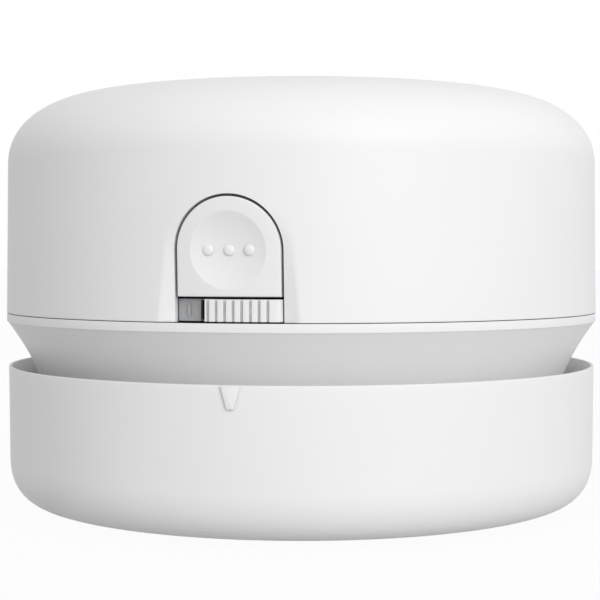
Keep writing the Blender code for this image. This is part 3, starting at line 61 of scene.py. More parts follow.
cup_low, cup_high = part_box("dust_cup")
housing_low, housing_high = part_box("lower_housing")
shell_low, shell_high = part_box("top_shell")
button_low, button_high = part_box("release_button")
knob_low, knob_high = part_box("switch_knob")
plate_low, plate_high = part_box("switch_plate")

body_radius = housing_high.x
cup_radius = cup_high.x
seam_top = knob_low.z
band_top = seam_top - FIT
apex = shell_high.z
print("body radius %.2f mm, apex %.2f mm" % (body_radius / MM, apex / MM))

# %% [markdown]
# Materials are built from nodes. Colours are written as the sRGB hex values that a colour picker
# shows, and one function turns them into the linear values that the renderer works in. Another
# adds any node, with its settings and its inputs, so that a material reads as a short list.

# %% Node helpers
def linear(code):
    """Turn an sRGB hex colour into linear red, green, blue and alpha."""
    channels = [int(code[i:i + 2], 16) / 255 for i in (1, 3, 5)]
    return [c / 12.92 if c <= 0.04045 else ((c + 0.055) / 1.055) ** 2.4 for c in channels] + [1.0]


def set_inputs(tree, node, inputs):
    """Give each named input its value, or link it to another node's output."""
    for name, value in inputs.items():
        if isinstance(value, bpy.types.NodeSocket):
            tree.links.new(value, node.inputs[name])
        else:
            node.inputs[name].default_value = value


def add_node(tree, kind, inputs=None, **settings):
    """Add a node, set its options, and set or link its inputs."""
    node = tree.nodes.new(kind)
    for name, value in settings.items():
        setattr(node, name, value)
    set_inputs(tree, node, inputs or {})
    return node


def per_mm(size_mm):
    """Return the noise scale whose grains are about this size."""
    return 1000 / size_mm


def new_material(name):
    """Return a bare material with its node tree and its surface shader."""
    made = bpy.data.materials.new(name)
    made.use_nodes = True
    tree = made.node_tree
    shader = tree.nodes["Principled BSDF"]
    place = add_node(tree, "ShaderNodeTexCoord").outputs["Object"]
    return made, tree, shader, place


# %% [markdown]
# The casing is ABS, injection moulded in a tool with a fine spark-eroded texture. To the eye that
# is a white that is never quite even: a silky sheen, a whisper of mottling where the melt flowed,
# and a grain that only shows at grazing light. The true grain is about 0.05 mm, too fine to show,
# so it is drawn at 0.35 mm or coarser, and kept very shallow. Grooves and inner corners narrower
# than about half a millimetre get painted shade: an occlusion pattern darkens their colour, on top
# of the shade that the lamps cast. The same function makes the inner parts, which are moulded in a
# greyer and in a near black grade.

# %% Moulded plastics
FLOW_MM = 22
# Painted shade in narrow corners: how far the occlusion looks, and how dark it paints the colour.
CORNER_REACH = 0.6 * MM
CORNER_SHADE = 0.68
SHEEN_SPREAD = 0.05
GRAIN_RELIEF = 0.05 * MM
ABS_IOR = 1.54
ABS_SPECULAR = 0.35


def moulded_plastic(name, colour, shade, roughness, grain_mm=0.35, grain_depth=0.06):
    """ABS from a textured tool: two close colours, painted shade in corners, a sheen and a shallow
    grain.
    """
    made, tree, shader, place = new_material(name)
    flow = add_node(tree, "ShaderNodeTexNoise", {
        "Vector": place, "Scale": per_mm(FLOW_MM), "Detail": 3.0,
    })
    tint = add_node(tree, "ShaderNodeMix", {
        0: flow.outputs["Fac"], 6: linear(colour), 7: linear(shade),
    }, data_type="RGBA")
    # Painted shade: an occlusion pattern darkens the colour in corners, creases and grooves, on top
    # of the shade that the lamps cast.
    corner = add_node(tree, "ShaderNodeAmbientOcclusion", {"Distance": CORNER_REACH}, samples=4)
    painted_corner_shade = add_node(tree, "ShaderNodeMapRange", {
        "Value": corner.outputs["AO"], "To Min": CORNER_SHADE, "To Max": 1.0,
    })
    darker = add_node(tree, "ShaderNodeVectorMath", {
        0: tint.outputs[2], 1: painted_corner_shade.outputs["Result"],
    }, operation="MULTIPLY")
    grain = add_node(tree, "ShaderNodeTexNoise", {
        "Vector": place, "Scale": per_mm(grain_mm), "Detail": 2.0,
    })
    sheen = add_node(tree, "ShaderNodeMapRange", {
        "Value": grain.outputs["Fac"],
        "To Min": roughness - SHEEN_SPREAD, "To Max": roughness + SHEEN_SPREAD,
    })
    bump = add_node(tree, "ShaderNodeBump", {
        "Height": grain.outputs["Fac"], "Strength": grain_depth, "Distance": GRAIN_RELIEF,
    })
    set_inputs(tree, shader, {
        "Base Color": darker.outputs[0], "Roughness": sheen.outputs["Result"],
        "Normal": bump.outputs["Normal"], "IOR": ABS_IOR, "Specular IOR Level": ABS_SPECULAR,
    })
    return made


white_abs = moulded_plastic("white_abs", "#EEEEEF", "#EAEAEB", 0.5)
light_grey_abs = moulded_plastic("light_grey_abs", "#A9AAAC", "#A2A3A5", 0.5, 0.45, 0.12)
dark_abs = moulded_plastic("dark_abs", "#242527", "#1B1C1E", 0.5, 0.45, 0.15)

# %% [markdown]
# The metals are plated steel. A screw is tumbled in a zinc bath, which leaves a soft, patchy
# shine, while the motor's can is drawn from sheet, which leaves fine lines up its wall. Both are
# fully metallic, and only the pattern behind their roughness differs.

# %% Plated steel
PATCH_MM = 0.8
PATCH_SPREAD = 0.1
DRAWN_STRETCH = 0.05


def plated_steel(name, colour, roughness, stretch):
    """Zinc or nickel on steel: the noise is stretched along Z where the metal was drawn."""
    made, tree, shader, place = new_material(name)
    drawn = add_node(tree, "ShaderNodeMapping", {"Vector": place, "Scale": (1.0, 1.0, stretch)})
    patch = add_node(tree, "ShaderNodeTexNoise", {
        "Vector": drawn.outputs["Vector"], "Scale": per_mm(PATCH_MM), "Detail": 5.0,
    })
    sheen = add_node(tree, "ShaderNodeMapRange", {
        "Value": patch.outputs["Fac"],
        "To Min": roughness - PATCH_SPREAD, "To Max": roughness + PATCH_SPREAD,
    })
    tint = add_node(tree, "ShaderNodeMix", {
        0: patch.outputs["Fac"], 6: linear(colour), 7: linear("#A9A9A6"),
    }, data_type="RGBA")
    bump = add_node(tree, "ShaderNodeBump", {
        "Height": patch.outputs["Fac"], "Strength": 0.1, "Distance": GRAIN_RELIEF,
    })
    set_inputs(tree, shader, {
        "Base Color": tint.outputs[2], "Roughness": sheen.outputs["Result"],
        "Normal": bump.outputs["Normal"], "Metallic": 1.0,
    })
    return made


zinc_steel = plated_steel("zinc_steel", "#C9C9C5", 0.32, 1.0)
drawn_steel = plated_steel("drawn_steel", "#D0CFCB", 0.28, DRAWN_STRETCH)

# %% [markdown]
# The rest are small things: rubber feet and rings, nylon bristles, the filter's washable felt, the
# shrink wrap on the battery cell, the board's solder mask and the insulated leads. One short
# function covers them, because each is a tinted plastic or fibre with a fine pattern over it.

# %% Small finishes
PATTERN_RELIEF = 0.1 * MM


def tinted_plastic(name, colour, shade, roughness, pattern_mm, depth, stretch=(1.0, 1.0, 1.0)):
    """A coloured plastic with a fine pattern in its colour and its surface."""
    made, tree, shader, place = new_material(name)
    way = add_node(tree, "ShaderNodeMapping", {"Vector": place, "Scale": stretch})
    pattern = add_node(tree, "ShaderNodeTexNoise", {
        "Vector": way.outputs["Vector"], "Scale": per_mm(pattern_mm), "Detail": 4.0,
    })
    tint = add_node(tree, "ShaderNodeMix", {
        0: pattern.outputs["Fac"], 6: linear(colour), 7: linear(shade),
    }, data_type="RGBA")
    bump = add_node(tree, "ShaderNodeBump", {
        "Height": pattern.outputs["Fac"], "Strength": depth, "Distance": PATTERN_RELIEF,
    })
    set_inputs(tree, shader, {
        "Base Color": tint.outputs[2], "Roughness": roughness, "Normal": bump.outputs["Normal"],
    })
    return made


# Moulded rubber scatters light everywhere, so it is dull and faintly pebbled.
soft_rubber = tinted_plastic("soft_rubber", "#B4B5B7", "#A6A7A9", 0.82, 0.5, 0.3)
# Drawn nylon is smooth: a low gloss, and faint streaks along each strand.
nylon_bristle = tinted_plastic("nylon_bristle", "#55565A", "#3C3D40", 0.38, 1.5, 0.1, (1, 1, 0.1))
# Needled felt is matt and woolly, with a pale sheen at grazing light.
filter_felt = tinted_plastic("filter_felt", "#EDEDE8", "#CFCFC9", 0.95, 0.35, 0.9)
filter_felt.node_tree.nodes["Principled BSDF"].inputs["Sheen Weight"].default_value = 0.4
# Shrink wrap is a thin, tight film, so its colour is even and its gloss clear.
cell_wrap = tinted_plastic("cell_wrap", "#2F6EA8", "#275F94", 0.3, 4.0, 0.05)
# Solder mask is a glossy lacquer that dips between the copper tracks.
board_green = tinted_plastic("board_green", "#1F6B3C", "#17552F", 0.35, 1.2, 0.3)
# Extruded silicone makes the leads smooth, with a soft gloss.
red_lead = tinted_plastic("red_lead", "#C0392B", "#A82F23", 0.4, 0.6, 0.1)
black_lead = tinted_plastic("black_lead", "#1E1E20", "#141416", 0.4, 0.6, 0.1)

# %% [markdown]
# The light guide is clear acrylic, moulded in a polished tool. It lets most of the light through,
# and a faint haze in its roughness keeps it from looking like glass.

# %% Clear acrylic
def clear_acrylic():
    """Acrylic from a polished tool: clear, with a faint haze."""
    made, tree, shader, place = new_material("clear_guide")
    haze = add_node(tree, "ShaderNodeTexNoise", {"Vector": place, "Scale": per_mm(0.6)})
    cloud = add_node(tree, "ShaderNodeMapRange", {
        "Value": haze.outputs["Fac"], "To Min": 0.08, "To Max": 0.2,
    })
    set_inputs(tree, shader, {
        "Base Color": linear("#EEF3F3"), "Roughness": cloud.outputs["Result"],
        "Transmission Weight": 0.85, "IOR": 1.49,
    })
    return made


clear_guide = clear_acrylic()

finishes = {
    "white_abs": white_abs, "light_grey_abs": light_grey_abs, "dark_abs": dark_abs,
    "soft_rubber": soft_rubber, "nylon_bristle": nylon_bristle, "filter_felt": filter_felt,
    "zinc_steel": zinc_steel, "cell_wrap": cell_wrap, "board_green": board_green,
    "clear_guide": clear_guide, "red_lead": red_lead, "black_lead": black_lead,
}
print("%d finishes for slots" % len(finishes))

# %% [markdown]
# The photograph was taken from close by, a hand's breadth over the desk and a little to the right
# of the button. The near camera is what bends the seam downwards in the middle, so its distance
# matters more than its lens. The values were fitted to the seam, the cup's rim and the outline, and
# the last hair's breadth of turn puts the object's axis where it stands in the photograph.

# %% Camera
CAMERA_DISTANCE = 227.7 * MM
CAMERA_HEIGHT = 36.65 * MM
CAMERA_AZIMUTH = 12.23
CAMERA_TURN = 0.048
CAMERA_PITCH = 1.767
CAMERA_LENS_MM = 93.0
SENSOR_WIDTH_MM = 36.0
NEAREST = 5.0 * MM

azimuth = math.radians(CAMERA_AZIMUTH)
camera_data = bpy.data.cameras.new("camera")
camera_data.lens = CAMERA_LENS_MM
camera_data.sensor_width = SENSOR_WIDTH_MM
camera_data.clip_start = NEAREST
camera = bpy.data.objects.new("camera", camera_data)
camera.location = (
    CAMERA_DISTANCE * math.sin(azimuth), -CAMERA_DISTANCE * math.cos(azimuth), CAMERA_HEIGHT,
)
camera.rotation_euler = (math.radians(90 - CAMERA_PITCH), 0, azimuth + math.radians(CAMERA_TURN))
bpy.context.scene.collection.objects.link(camera)
bpy.context.scene.camera = camera
bpy.context.scene.view_settings.view_transform = "Standard"
print("camera %.1f mm from the axis" % (CAMERA_DISTANCE / MM))

# %% [markdown]
# The product stands on plain white. That white comes from the world and the floor themselves:
# rays from the camera and from reflections see full white, while the light that falls on the
# object stays at a plain level. The floor keeps a share of its own shading, so that a soft shadow
# still shows, and it throws back less light than it shows, which keeps the undersides grey. One
# broad lamp from the right gives the bright side.

# %% Floor and light
def white_for_camera(tree):
    """Return 1 for camera, glossy and transmitted rays, and 0 for the light on the object."""
    path = add_node(tree, "ShaderNodeLightPath").outputs
    seen = add_node(tree, "ShaderNodeMath", {
        0: path["Is Camera Ray"], 1: path["Is Glossy Ray"],
    }, operation="MAXIMUM")
    return add_node(tree, "ShaderNodeMath", {
        0: seen.outputs[0], 1: path["Is Transmission Ray"],
    }, operation="MAXIMUM").outputs[0]


WORLD_LIGHT = 0.61
world = bpy.data.worlds.new("studio")
world.use_nodes = True
bpy.context.scene.world = world
level = add_node(world.node_tree, "ShaderNodeMapRange", {
    "Value": white_for_camera(world.node_tree), "To Min": WORLD_LIGHT, "To Max": 1.0,
})
set_inputs(world.node_tree, world.node_tree.nodes["Background"], {
    "Color": (1, 1, 1, 1), "Strength": level.outputs["Result"],
})

FLOOR_SIZE = 6.0
FLOOR_WHITE_SHARE = 0.96
bpy.ops.object.select_all(action="DESELECT")
bpy.ops.mesh.primitive_plane_add(size=FLOOR_SIZE)
floor = bpy.context.object
floor.name = "floor"
floor_finish = bpy.data.materials.new("floor_white")
floor_finish.use_nodes = True
tree = floor_finish.node_tree
painted = tree.nodes["Principled BSDF"]
set_inputs(tree, painted, {"Base Color": linear("#C4C4C4"), "Roughness": 0.9})
glow = add_node(tree, "ShaderNodeEmission", {"Color": (1, 1, 1, 1), "Strength": 1.0})
share = add_node(tree, "ShaderNodeMath", {
    0: white_for_camera(tree), 1: FLOOR_WHITE_SHARE,
}, operation="MULTIPLY")
mixed = add_node(tree, "ShaderNodeMixShader", {
    0: share.outputs[0], 1: painted.outputs[0], 2: glow.outputs[0],
})
set_inputs(tree, tree.nodes["Material Output"], {"Surface": mixed.outputs[0]})
floor.data.materials.append(floor_finish)

KEY_POWER = 4.5
KEY_SIZE = 0.6
KEY_PLACE = Vector((0.5, -0.66, 0.38))
bpy.ops.object.light_add(type="AREA", location=KEY_PLACE)
key = bpy.context.object
key.name = "key_right"
key.data.size = KEY_SIZE
key.data.energy = KEY_POWER
aim = Vector((0, 0, apex / 2)) - KEY_PLACE
key.rotation_euler = aim.to_track_quat("-Z", "Y").to_euler()
print("floor %.0f m wide, one lamp %.1f m wide" % (FLOOR_SIZE, KEY_SIZE))

# %% [markdown]
# Most pieces start as a closed line that is drawn one point after the other, as one would click it
# in edit mode. For a round piece the line is a half section, and it is spun about Z, like work on a
# lathe.

# %% Drawing and spinning an outline
TURN_STEPS = 192
MERGE = 0.01 * MM


def draw_outline(name, points):
    """Draw a closed line through 3D points by extruding one vertex after the other."""
    bpy.ops.mesh.primitive_plane_add(size=MM, location=(0, 0, 0))
    piece = bpy.context.object
    piece.name = name
    piece.data.name = name
    bpy.ops.object.mode_set(mode="EDIT")
    bpy.ops.mesh.merge(type="CENTER")
    bpy.ops.transform.translate(value=points[0])
    for here, there in zip(points, points[1:] + points[:1]):
        bpy.ops.mesh.extrude_vertices_move(TRANSFORM_OT_translate={"value": there - here})
    bpy.ops.mesh.select_all(action="SELECT")
    bpy.ops.mesh.remove_doubles(threshold=MERGE)
    return piece


def lathe(name, section, start=0.0, arcs=((math.tau, TURN_STEPS),)):
    """Spin a closed (radius, height) section about Z, in one arc or in a few of unlike density.

    The operator turns clockwise about its axis, so an axis that points down turns the usual way.
    """
    across = Vector((math.cos(start), math.sin(start), 0))
    piece = draw_outline(name, [across * radius + Vector((0, 0, up)) for radius, up in section])
    for angle, steps in arcs:
        bpy.ops.mesh.spin(steps=steps, angle=angle, center=(0, 0, 0), axis=(0, 0, -1))
    bpy.ops.mesh.select_all(action="SELECT")
    bpy.ops.mesh.remove_doubles(threshold=MERGE)
    bpy.ops.mesh.normals_make_consistent(inside=False)
    bpy.ops.object.mode_set(mode="OBJECT")
    return piece


# %% [markdown]
# The top shell is one moulding: a nearly straight wall, a generous round corner and a slightly
# crowned roof. It could be a scaled sphere or a bevelled cylinder, but neither gives this corner,
# which is flatter on top than at the side. A superellipse does. Its section is spun about Z, with
# many narrow steps over the front, where the slopes round the button need fine points.

# %% Top shell profile
SHELL_WALL = 2.0 * MM
SHELL_DRAFT = 0.25 * MM
CORNER_START = 20.7 * MM
CORNER_DEPTH = 13.85 * MM
CORNER_POWER = 2.25
CROWN_RISE = 1.66 * MM
EDGE_FILLET = 0.08 * MM
FOOT_FILLET_SHARE = 0.3
SEAM_LIP = 0.11 * MM
FINE_ROWS = 0.15 * MM
FINE_MARGIN = 2.0 * MM
ROOF_STEPS = 40
CROWN_STEPS = 12

corner_z = seam_top + CORNER_START
corner_radius = body_radius - SHELL_DRAFT
roof_rise = apex - corner_z - CROWN_RISE


def roof(radius, drop=0.0):
    """Return the roof's height over a radius: a superellipse corner plus a wide, low crown."""
    share = max(0.0, (radius - corner_radius + CORNER_DEPTH) / (CORNER_DEPTH - drop))
    bulge = (1 - min(share, 1.0) ** CORNER_POWER) ** (1 / CORNER_POWER)
    crown = CROWN_RISE * (1 - (radius / corner_radius) ** 2)
    return corner_z + roof_rise * bulge + crown - drop * bulge


def roof_points(drop, count):
    """Read the roof from the wall to the axis, with close points in the tight bend."""
    points = []
    flat = corner_radius - CORNER_DEPTH
    for i in range(count + 1):
        angle = math.pi / 2 * i / count
        radius = flat + (CORNER_DEPTH - drop) * math.cos(angle) ** (2 / CORNER_POWER)
        points.append((radius, roof(radius, drop)))
    for i in range(1, CROWN_STEPS + 1):
        radius = flat * (1 - i / CROWN_STEPS)
        points.append((radius, roof(radius, drop)))
    return points


fine_top = button_high.z + FINE_MARGIN
foot_z = seam_top - SEAM_LIP
rows = round((fine_top - seam_top) / FINE_ROWS)
wall = []
for i in range(rows + 1):
    up = foot_z + EDGE_FILLET + (fine_top - foot_z - EDGE_FILLET) * i / rows
    wall.append((body_radius - SHELL_DRAFT * max(up - seam_top, 0.0) / CORNER_START, up))
foot = [(body_radius - SHELL_WALL, foot_z), (body_radius - EDGE_FILLET, foot_z)]
step_in = FOOT_FILLET_SHARE * EDGE_FILLET
foot.append((body_radius - step_in, foot_z + step_in))
outside = roof_points(0.0, ROOF_STEPS)
inside = roof_points(SHELL_WALL, ROOF_STEPS // 2)
section = foot + wall + outside + inside[::-1]
print("shell section has %d points" % len(section))

# %% [markdown]
# The wall dips in round the button: two slopes start from nothing at the top of the arch and grow
# towards the seam, deeper and wider, until the button's foot lies 0.9 mm under the surface.
# Modelling that as a cut would leave hard edges, so the fine rows of points are pressed in by a
# formula instead, and where the slope meets the wall a smooth minimum rounds the crease.

# %% Slopes round the button
FRONT_ARC = math.radians(28)
FRONT_STEPS = 168
BACK_STEPS = 150
FLANGE_MARGIN = 1.1 * MM
BUTTON_GAP = 0.33 * MM
PANEL_DEPTH_FOOT = 0.88 * MM
PANEL_DEPTH_APEX = 0.05 * MM
SLOPE_WIDTH = 2.0 * MM
SLOPE_NARROWEST = 0.4 * MM
SLOPE_POWER = 0.6
CREASE = 0.1 * MM

arch_half = button_high.x - FLANGE_MARGIN
arch_apex = button_high.z - FLANGE_MARGIN
arch_centre = arch_apex - arch_half


def way_down(up):
    """Return how far down the arch a height is: 0 at its top, 1 at the seam."""
    return min(1.0, (arch_apex - up) / (arch_apex - seam_top))


def panel_radius(up):
    """Return the radius of the leaning face that button and hole share."""
    deeper = PANEL_DEPTH_FOOT - PANEL_DEPTH_APEX
    return body_radius - PANEL_DEPTH_APEX - deeper * way_down(up)


def arch_edge(x, up, half):
    """Return how far a point lies outside the arch, and the height of the arch's nearest point."""
    if up <= arch_centre:
        return abs(x) - half, up
    arm = Vector((x, up - arch_centre))
    return arm.length - half, arch_centre + half * arm.normalized().y


def on_arc(radius, x):
    """Return the y of the front point of a circle round the axis."""
    return -math.sqrt(radius ** 2 - x ** 2)


def smooth_lower(a, b, width):
    """Return the smaller of two values, rounded where they cross."""
    share = max(width - abs(a - b), 0.0) / width
    return min(a, b) - share * share * width / 4


def press_slopes(piece, half):
    """Press the front wall's outer points in to the slopes."""
    for vert in piece.data.vertices:
        x, y, up = vert.co
        wall = math.hypot(x, y)
        if y > 0 or up > fine_top or wall < body_radius - 2 * SHELL_DRAFT:
            continue
        away, edge_up = arch_edge(x, up, half)
        deep = wall - panel_radius(edge_up)
        if deep <= 0:
            continue
        width = max(SLOPE_NARROWEST, SLOPE_WIDTH * max(way_down(edge_up), 0.0) ** SLOPE_POWER)
        slope = wall - deep * (1 - away / width)
        vert.co.y = on_arc(smooth_lower(wall, slope, min(CREASE, deep)), x)


top_shell = lathe(
    "top_cover", section, start=-math.pi / 2 - FRONT_ARC / 2,
    arcs=((FRONT_ARC, FRONT_STEPS), (math.tau - FRONT_ARC, BACK_STEPS)),
)
press_slopes(top_shell, arch_half + BUTTON_GAP)
print("arch %.1f mm wide, apex at %.1f mm" % (2 * arch_half / MM, arch_apex / MM))

# %% [markdown]
# Holes and posts are cut or joined one by one. A flat outline is filled and extruded to a working
# shape, a Boolean takes it off the piece or joins it on, and the shape is thrown away. Operators
# act on whatever is selected, so each step first selects one piece alone.

# %% Cutting and joining
def select_only(piece):
    """Leave edit mode, and select one piece alone."""
    if bpy.context.object and bpy.context.object.mode == "EDIT":
        bpy.ops.object.mode_set(mode="OBJECT")
    bpy.ops.object.select_all(action="DESELECT")
    piece.select_set(True)
    bpy.context.view_layer.objects.active = piece


def thicken(move):
    """Fill the outline that is being drawn, extrude it, and leave edit mode."""
    bpy.ops.mesh.edge_face_add()
    bpy.ops.mesh.extrude_region_move(TRANSFORM_OT_translate={"value": move})
    bpy.ops.mesh.select_all(action="SELECT")
    bpy.ops.mesh.normals_make_consistent(inside=False)
    bpy.ops.object.mode_set(mode="OBJECT")


def prism(name, outline, front, back):
    """Draw an (x, z) outline in the plane y = front, fill it, and extrude it to y = back."""
    piece = draw_outline(name, [Vector((x, front, up)) for x, up in outline])
    thicken((0, back - front, 0))
    return piece


def combine(piece, tool, operation):
    """Cut or join a working shape, and throw it away."""
    select_only(piece)
    step = piece.modifiers.new("step", "BOOLEAN")
    step.operation = operation
    step.object = tool
    bpy.ops.object.modifier_apply(modifier="step")
    bpy.data.objects.remove(tool, do_unlink=True)
    return piece


# %% [markdown]
# The hole for the button is a straight slot with a half circle on top. It is cut after the slopes,
# through the bottom of the cover, so its edge stays clean and as wide as the button and its gap.

# %% Arched hole
def arch_points(half, low, top, steps=64):
    """Return the arch as (x, z) points, from its left foot over its crown to its right foot."""
    points = [Vector((-half, low))]
    for i in range(steps + 1):
        angle = math.pi * (1 - i / steps)
        points.append(Vector((half * math.cos(angle), top - half + half * math.sin(angle))))
    return points + [Vector((half, low))]


hole = prism(
    "arched_hole", arch_points(arch_half + BUTTON_GAP, seam_top - OVERRUN, arch_apex + BUTTON_GAP),
    -body_radius - OVERRUN, -body_radius + 3 * SHELL_WALL,
)
combine(top_shell, hole, "DIFFERENCE")
print("cover has %d faces" % len(top_shell.data.polygons))

# %% [markdown]
# A finished piece has its object at the origin and its place in its mesh. It gets smooth shading
# that leaves the real edges sharp, the finish of its slot and the body that it rides on, and the
# solid that it stands for is hidden. A small piece that only adds to a solid hides none.

# %% Finishing a piece
def settle(piece):
    """Move a piece's place, turn and scale into its mesh."""
    select_only(piece)
    bpy.ops.object.transform_apply(location=True, rotation=True, scale=True)
    return piece


def dress(piece, slot, body, *nodes, angle=32):
    """Give a finished piece its shading, its finish and its body, and hide the nodes that it stands
    for.
    """
    settle(piece)
    bpy.ops.object.shade_smooth_by_angle(angle=math.radians(angle))
    piece.data.materials.clear()
    piece.data.materials.append(finishes[slot])
    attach(piece, body)
    if nodes:
        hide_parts(*nodes)
    print("%-16s %6d faces" % (piece.name, len(piece.data.polygons)))
    return piece


# %% [markdown]
# Inside, four bosses hang from the roof over the housing's screw columns. The screws' own places in
# the frame say where they stand, and all four are joined on in one step, and then bored.

# %% Bosses
BOSS_WALL = 1.5 * MM
SHANK_RADIUS = 1.1 * MM


def gather(pieces):
    """Join separate working shapes into one mesh."""
    select_only(pieces[0])
    for piece in pieces[1:]:
        piece.select_set(True)
    if len(pieces) > 1:
        bpy.ops.object.join()
    return bpy.context.object


def places_of(name, count):
    """Return the (x, y) places of a node's numbered copies."""
    places = []
    for number in range(1, count + 1):
        low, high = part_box("%s_%d" % (name, number))
        middle = (low + high) / 2
        places.append((middle.x, middle.y))
    return places


def pegs(places, radius, low, high, vertices=48):
    """Upright round bars at (x, y) places, as one working shape."""
    made = []
    for x, y in places:
        bpy.ops.mesh.primitive_cylinder_add(
            vertices=vertices, radius=radius, depth=high - low, location=(x, y, (high + low) / 2),
        )
        made.append(bpy.context.object)
    return gather(made)


screw_low, screw_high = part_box("shell_screw_1")
shell_screw_places = places_of("shell_screw", 4)
shank_bore = SHANK_RADIUS + FIT
boss_radius = shank_bore + BOSS_WALL
boss_top = roof(math.hypot(*shell_screw_places[0]) + boss_radius) - FIT
bosses = pegs(shell_screw_places, boss_radius, shell_low.z, boss_top)
combine(top_shell, bosses, "UNION")
bores = pegs(shell_screw_places, shank_bore, shell_low.z - OVERRUN, screw_high.z + FIT)
combine(top_shell, bores, "DIFFERENCE")
print("%d bosses, %.1f mm across" % (len(shell_screw_places), 2 * boss_radius / MM))

# %% [markdown]
# In the back wall, the charging socket's port is a slot with round ends, and the light guide's
# hole beside it is a plain bore. Both are a little wider than what stands in them.

# %% Port and light hole
PORT_MARGIN = 0.58 * MM
HOLE_STEPS = 48

socket_low, socket_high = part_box("charge_socket")
light_low, light_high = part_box("charge_light")


def stadium(half_width, half_height, middle_up, steps=16):
    """Return a slot outline with round ends as (x, z) points."""
    points = []
    for side in (1, -1):
        for i in range(steps + 1):
            angle = side * math.pi / 2 - math.pi * i / steps
            points.append(Vector((
                side * (half_width - half_height) + half_height * math.cos(angle),
                middle_up + half_height * math.sin(angle),
            )))
    return points


socket_middle = (socket_low.z + socket_high.z) / 2
socket_half = socket_high.x
socket_tall = (socket_high.z - socket_low.z) / 2
port = prism(
    "port", stadium(socket_half + PORT_MARGIN, socket_tall + PORT_MARGIN, socket_middle),
    body_radius - 2 * SHELL_WALL, body_radius + OVERRUN,
)
combine(top_shell, port, "DIFFERENCE")
light_middle = (light_low + light_high) / 2
light_radius = (light_high.x - light_low.x) / 2
bpy.ops.mesh.primitive_cylinder_add(
    vertices=HOLE_STEPS, radius=light_radius + FIT, depth=4 * SHELL_WALL,
    location=(light_middle.x, body_radius - SHELL_WALL, light_middle.z), rotation=(math.pi / 2, 0, 0),
)
combine(top_shell, bpy.context.object, "DIFFERENCE")
dress(top_shell, "white_abs", "motor_unit", "top_shell")

# %% [markdown]
# The lower housing is the tub under the cover: the narrow band below the seam, a neck that flares
# in like a trumpet, and a spigot that drops into the cup's collar. The flare is a power curve, read
# at even steps. Moulded plastic has no sharp corners, so each corner of the section is given with
# its fillet, and one function puts a true arc there.

# %% Lower housing
BAND_HEIGHT = 1.05 * MM
BAND_STEP = 0.1 * MM
NECK_INSET = 5.2 * MM
FLARE_POWER = 1.55
FLARE_HEIGHT = 10.7 * MM
SHOULDER_WIDTH = 2.7 * MM
HOUSING_WALL = 1.8 * MM
HOUSING_FLOOR = 1.6 * MM
EXHAUST_SILL = 0.7 * MM
SMALL_FILLET = 0.25 * MM
COLUMN_RADIUS = 3.5 * MM
COLUMN_INSET = 2.8 * MM
FILTER_MARGIN = 0.7 * MM
FLARE_STEPS = 36

band_low = band_top - BAND_HEIGHT
shoulder = band_low - FLARE_HEIGHT
neck_radius = body_radius - NECK_INSET
spigot_radius = neck_radius - SHOULDER_WIDTH
spigot_bore = spigot_radius - HOUSING_WALL
housing_floor = housing_low.z + HOUSING_FLOOR
lip_radius = body_radius - SHELL_WALL - FIT
lip_bore = lip_radius - HOUSING_WALL
post_circle = spigot_bore - COLUMN_INSET
filter_opening = post_circle - COLUMN_RADIUS - FILTER_MARGIN


def rounded(corners, steps=4):
    """Turn (across, up, fillet) corners into a closed outline with round corners."""
    outline = []
    for i, (across, up, fillet) in enumerate(corners):
        here = Vector((across, up))
        if not fillet:
            outline.append(here)
            continue
        before = (Vector(corners[i - 1][:2]) - here).normalized()
        after = (Vector(corners[(i + 1) % len(corners)][:2]) - here).normalized()
        half = before.angle(after) / 2
        centre = here + (before + after).normalized() * fillet / math.sin(half)
        start = here + before * fillet / math.tan(half) - centre
        end = here + after * fillet / math.tan(half) - centre
        for step in range(steps + 1):
            arm = start.lerp(end, step / steps).normalized() * fillet
            outline.append(centre + arm)
    return outline


def flare(up):
    """Return the neck's outer radius at a height."""
    share = min(1.0, max(0.0, (up - shoulder) / FLARE_HEIGHT))
    return neck_radius + (body_radius - BAND_STEP - neck_radius) * share ** FLARE_POWER


outer_flare = []
for i in range(FLARE_STEPS):
    up = band_low - FLARE_HEIGHT * i / FLARE_STEPS
    outer_flare.append((flare(up), up, 0))
inner_flare = []
inner_steps = FLARE_STEPS // 3
for i in range(inner_steps + 1):
    up = shoulder + EXHAUST_SILL + (band_low - shoulder - EXHAUST_SILL) * i / inner_steps
    inner_flare.append((min(flare(up) - HOUSING_WALL, lip_bore), up, 0))
section = rounded([
    (lip_radius, band_top, 0),
    (body_radius, band_top + SEAM_LIP, EDGE_FILLET),
    (body_radius, band_low, EDGE_FILLET),
    *outer_flare,
    (neck_radius, shoulder, SMALL_FILLET),
    (spigot_radius, shoulder, 0),
    (spigot_radius, housing_low.z, SMALL_FILLET),
    (filter_opening, housing_low.z, SMALL_FILLET),
    (filter_opening, housing_floor, 0),
    (spigot_bore, housing_floor, SMALL_FILLET),
    (spigot_bore, shoulder, 0),
    *inner_flare,
    (lip_bore, housing_high.z, SMALL_FILLET),
    (lip_radius, housing_high.z, SMALL_FILLET),
])
housing = lathe("motor_housing", section)

# %% [markdown]
# The tub's columns, its posts and the switch's shelf are joined on as plain bars and a block. The
# screw bores, the hook's window and the gap in the lip behind the button are then cut out.

# %% Housing details
SWITCH_SHELF = 1.8 * MM
SHELF_BACK = -34.4 * MM
HEAD_RADIUS = 2.5 * MM
HEAD_HEIGHT = 1.8 * MM
SMALL_SHANK = 0.8 * MM
POST_WALL = 1.2 * MM
POST_BORE_DEPTH = 8.0 * MM
CATCH_HEIGHT = 1.5 * MM


def block(low, high):
    """A box between two corners, as a working shape."""
    low, high = Vector(low), Vector(high)
    bpy.ops.mesh.primitive_cube_add(size=1, location=(low + high) / 2, scale=high - low)
    return bpy.context.object


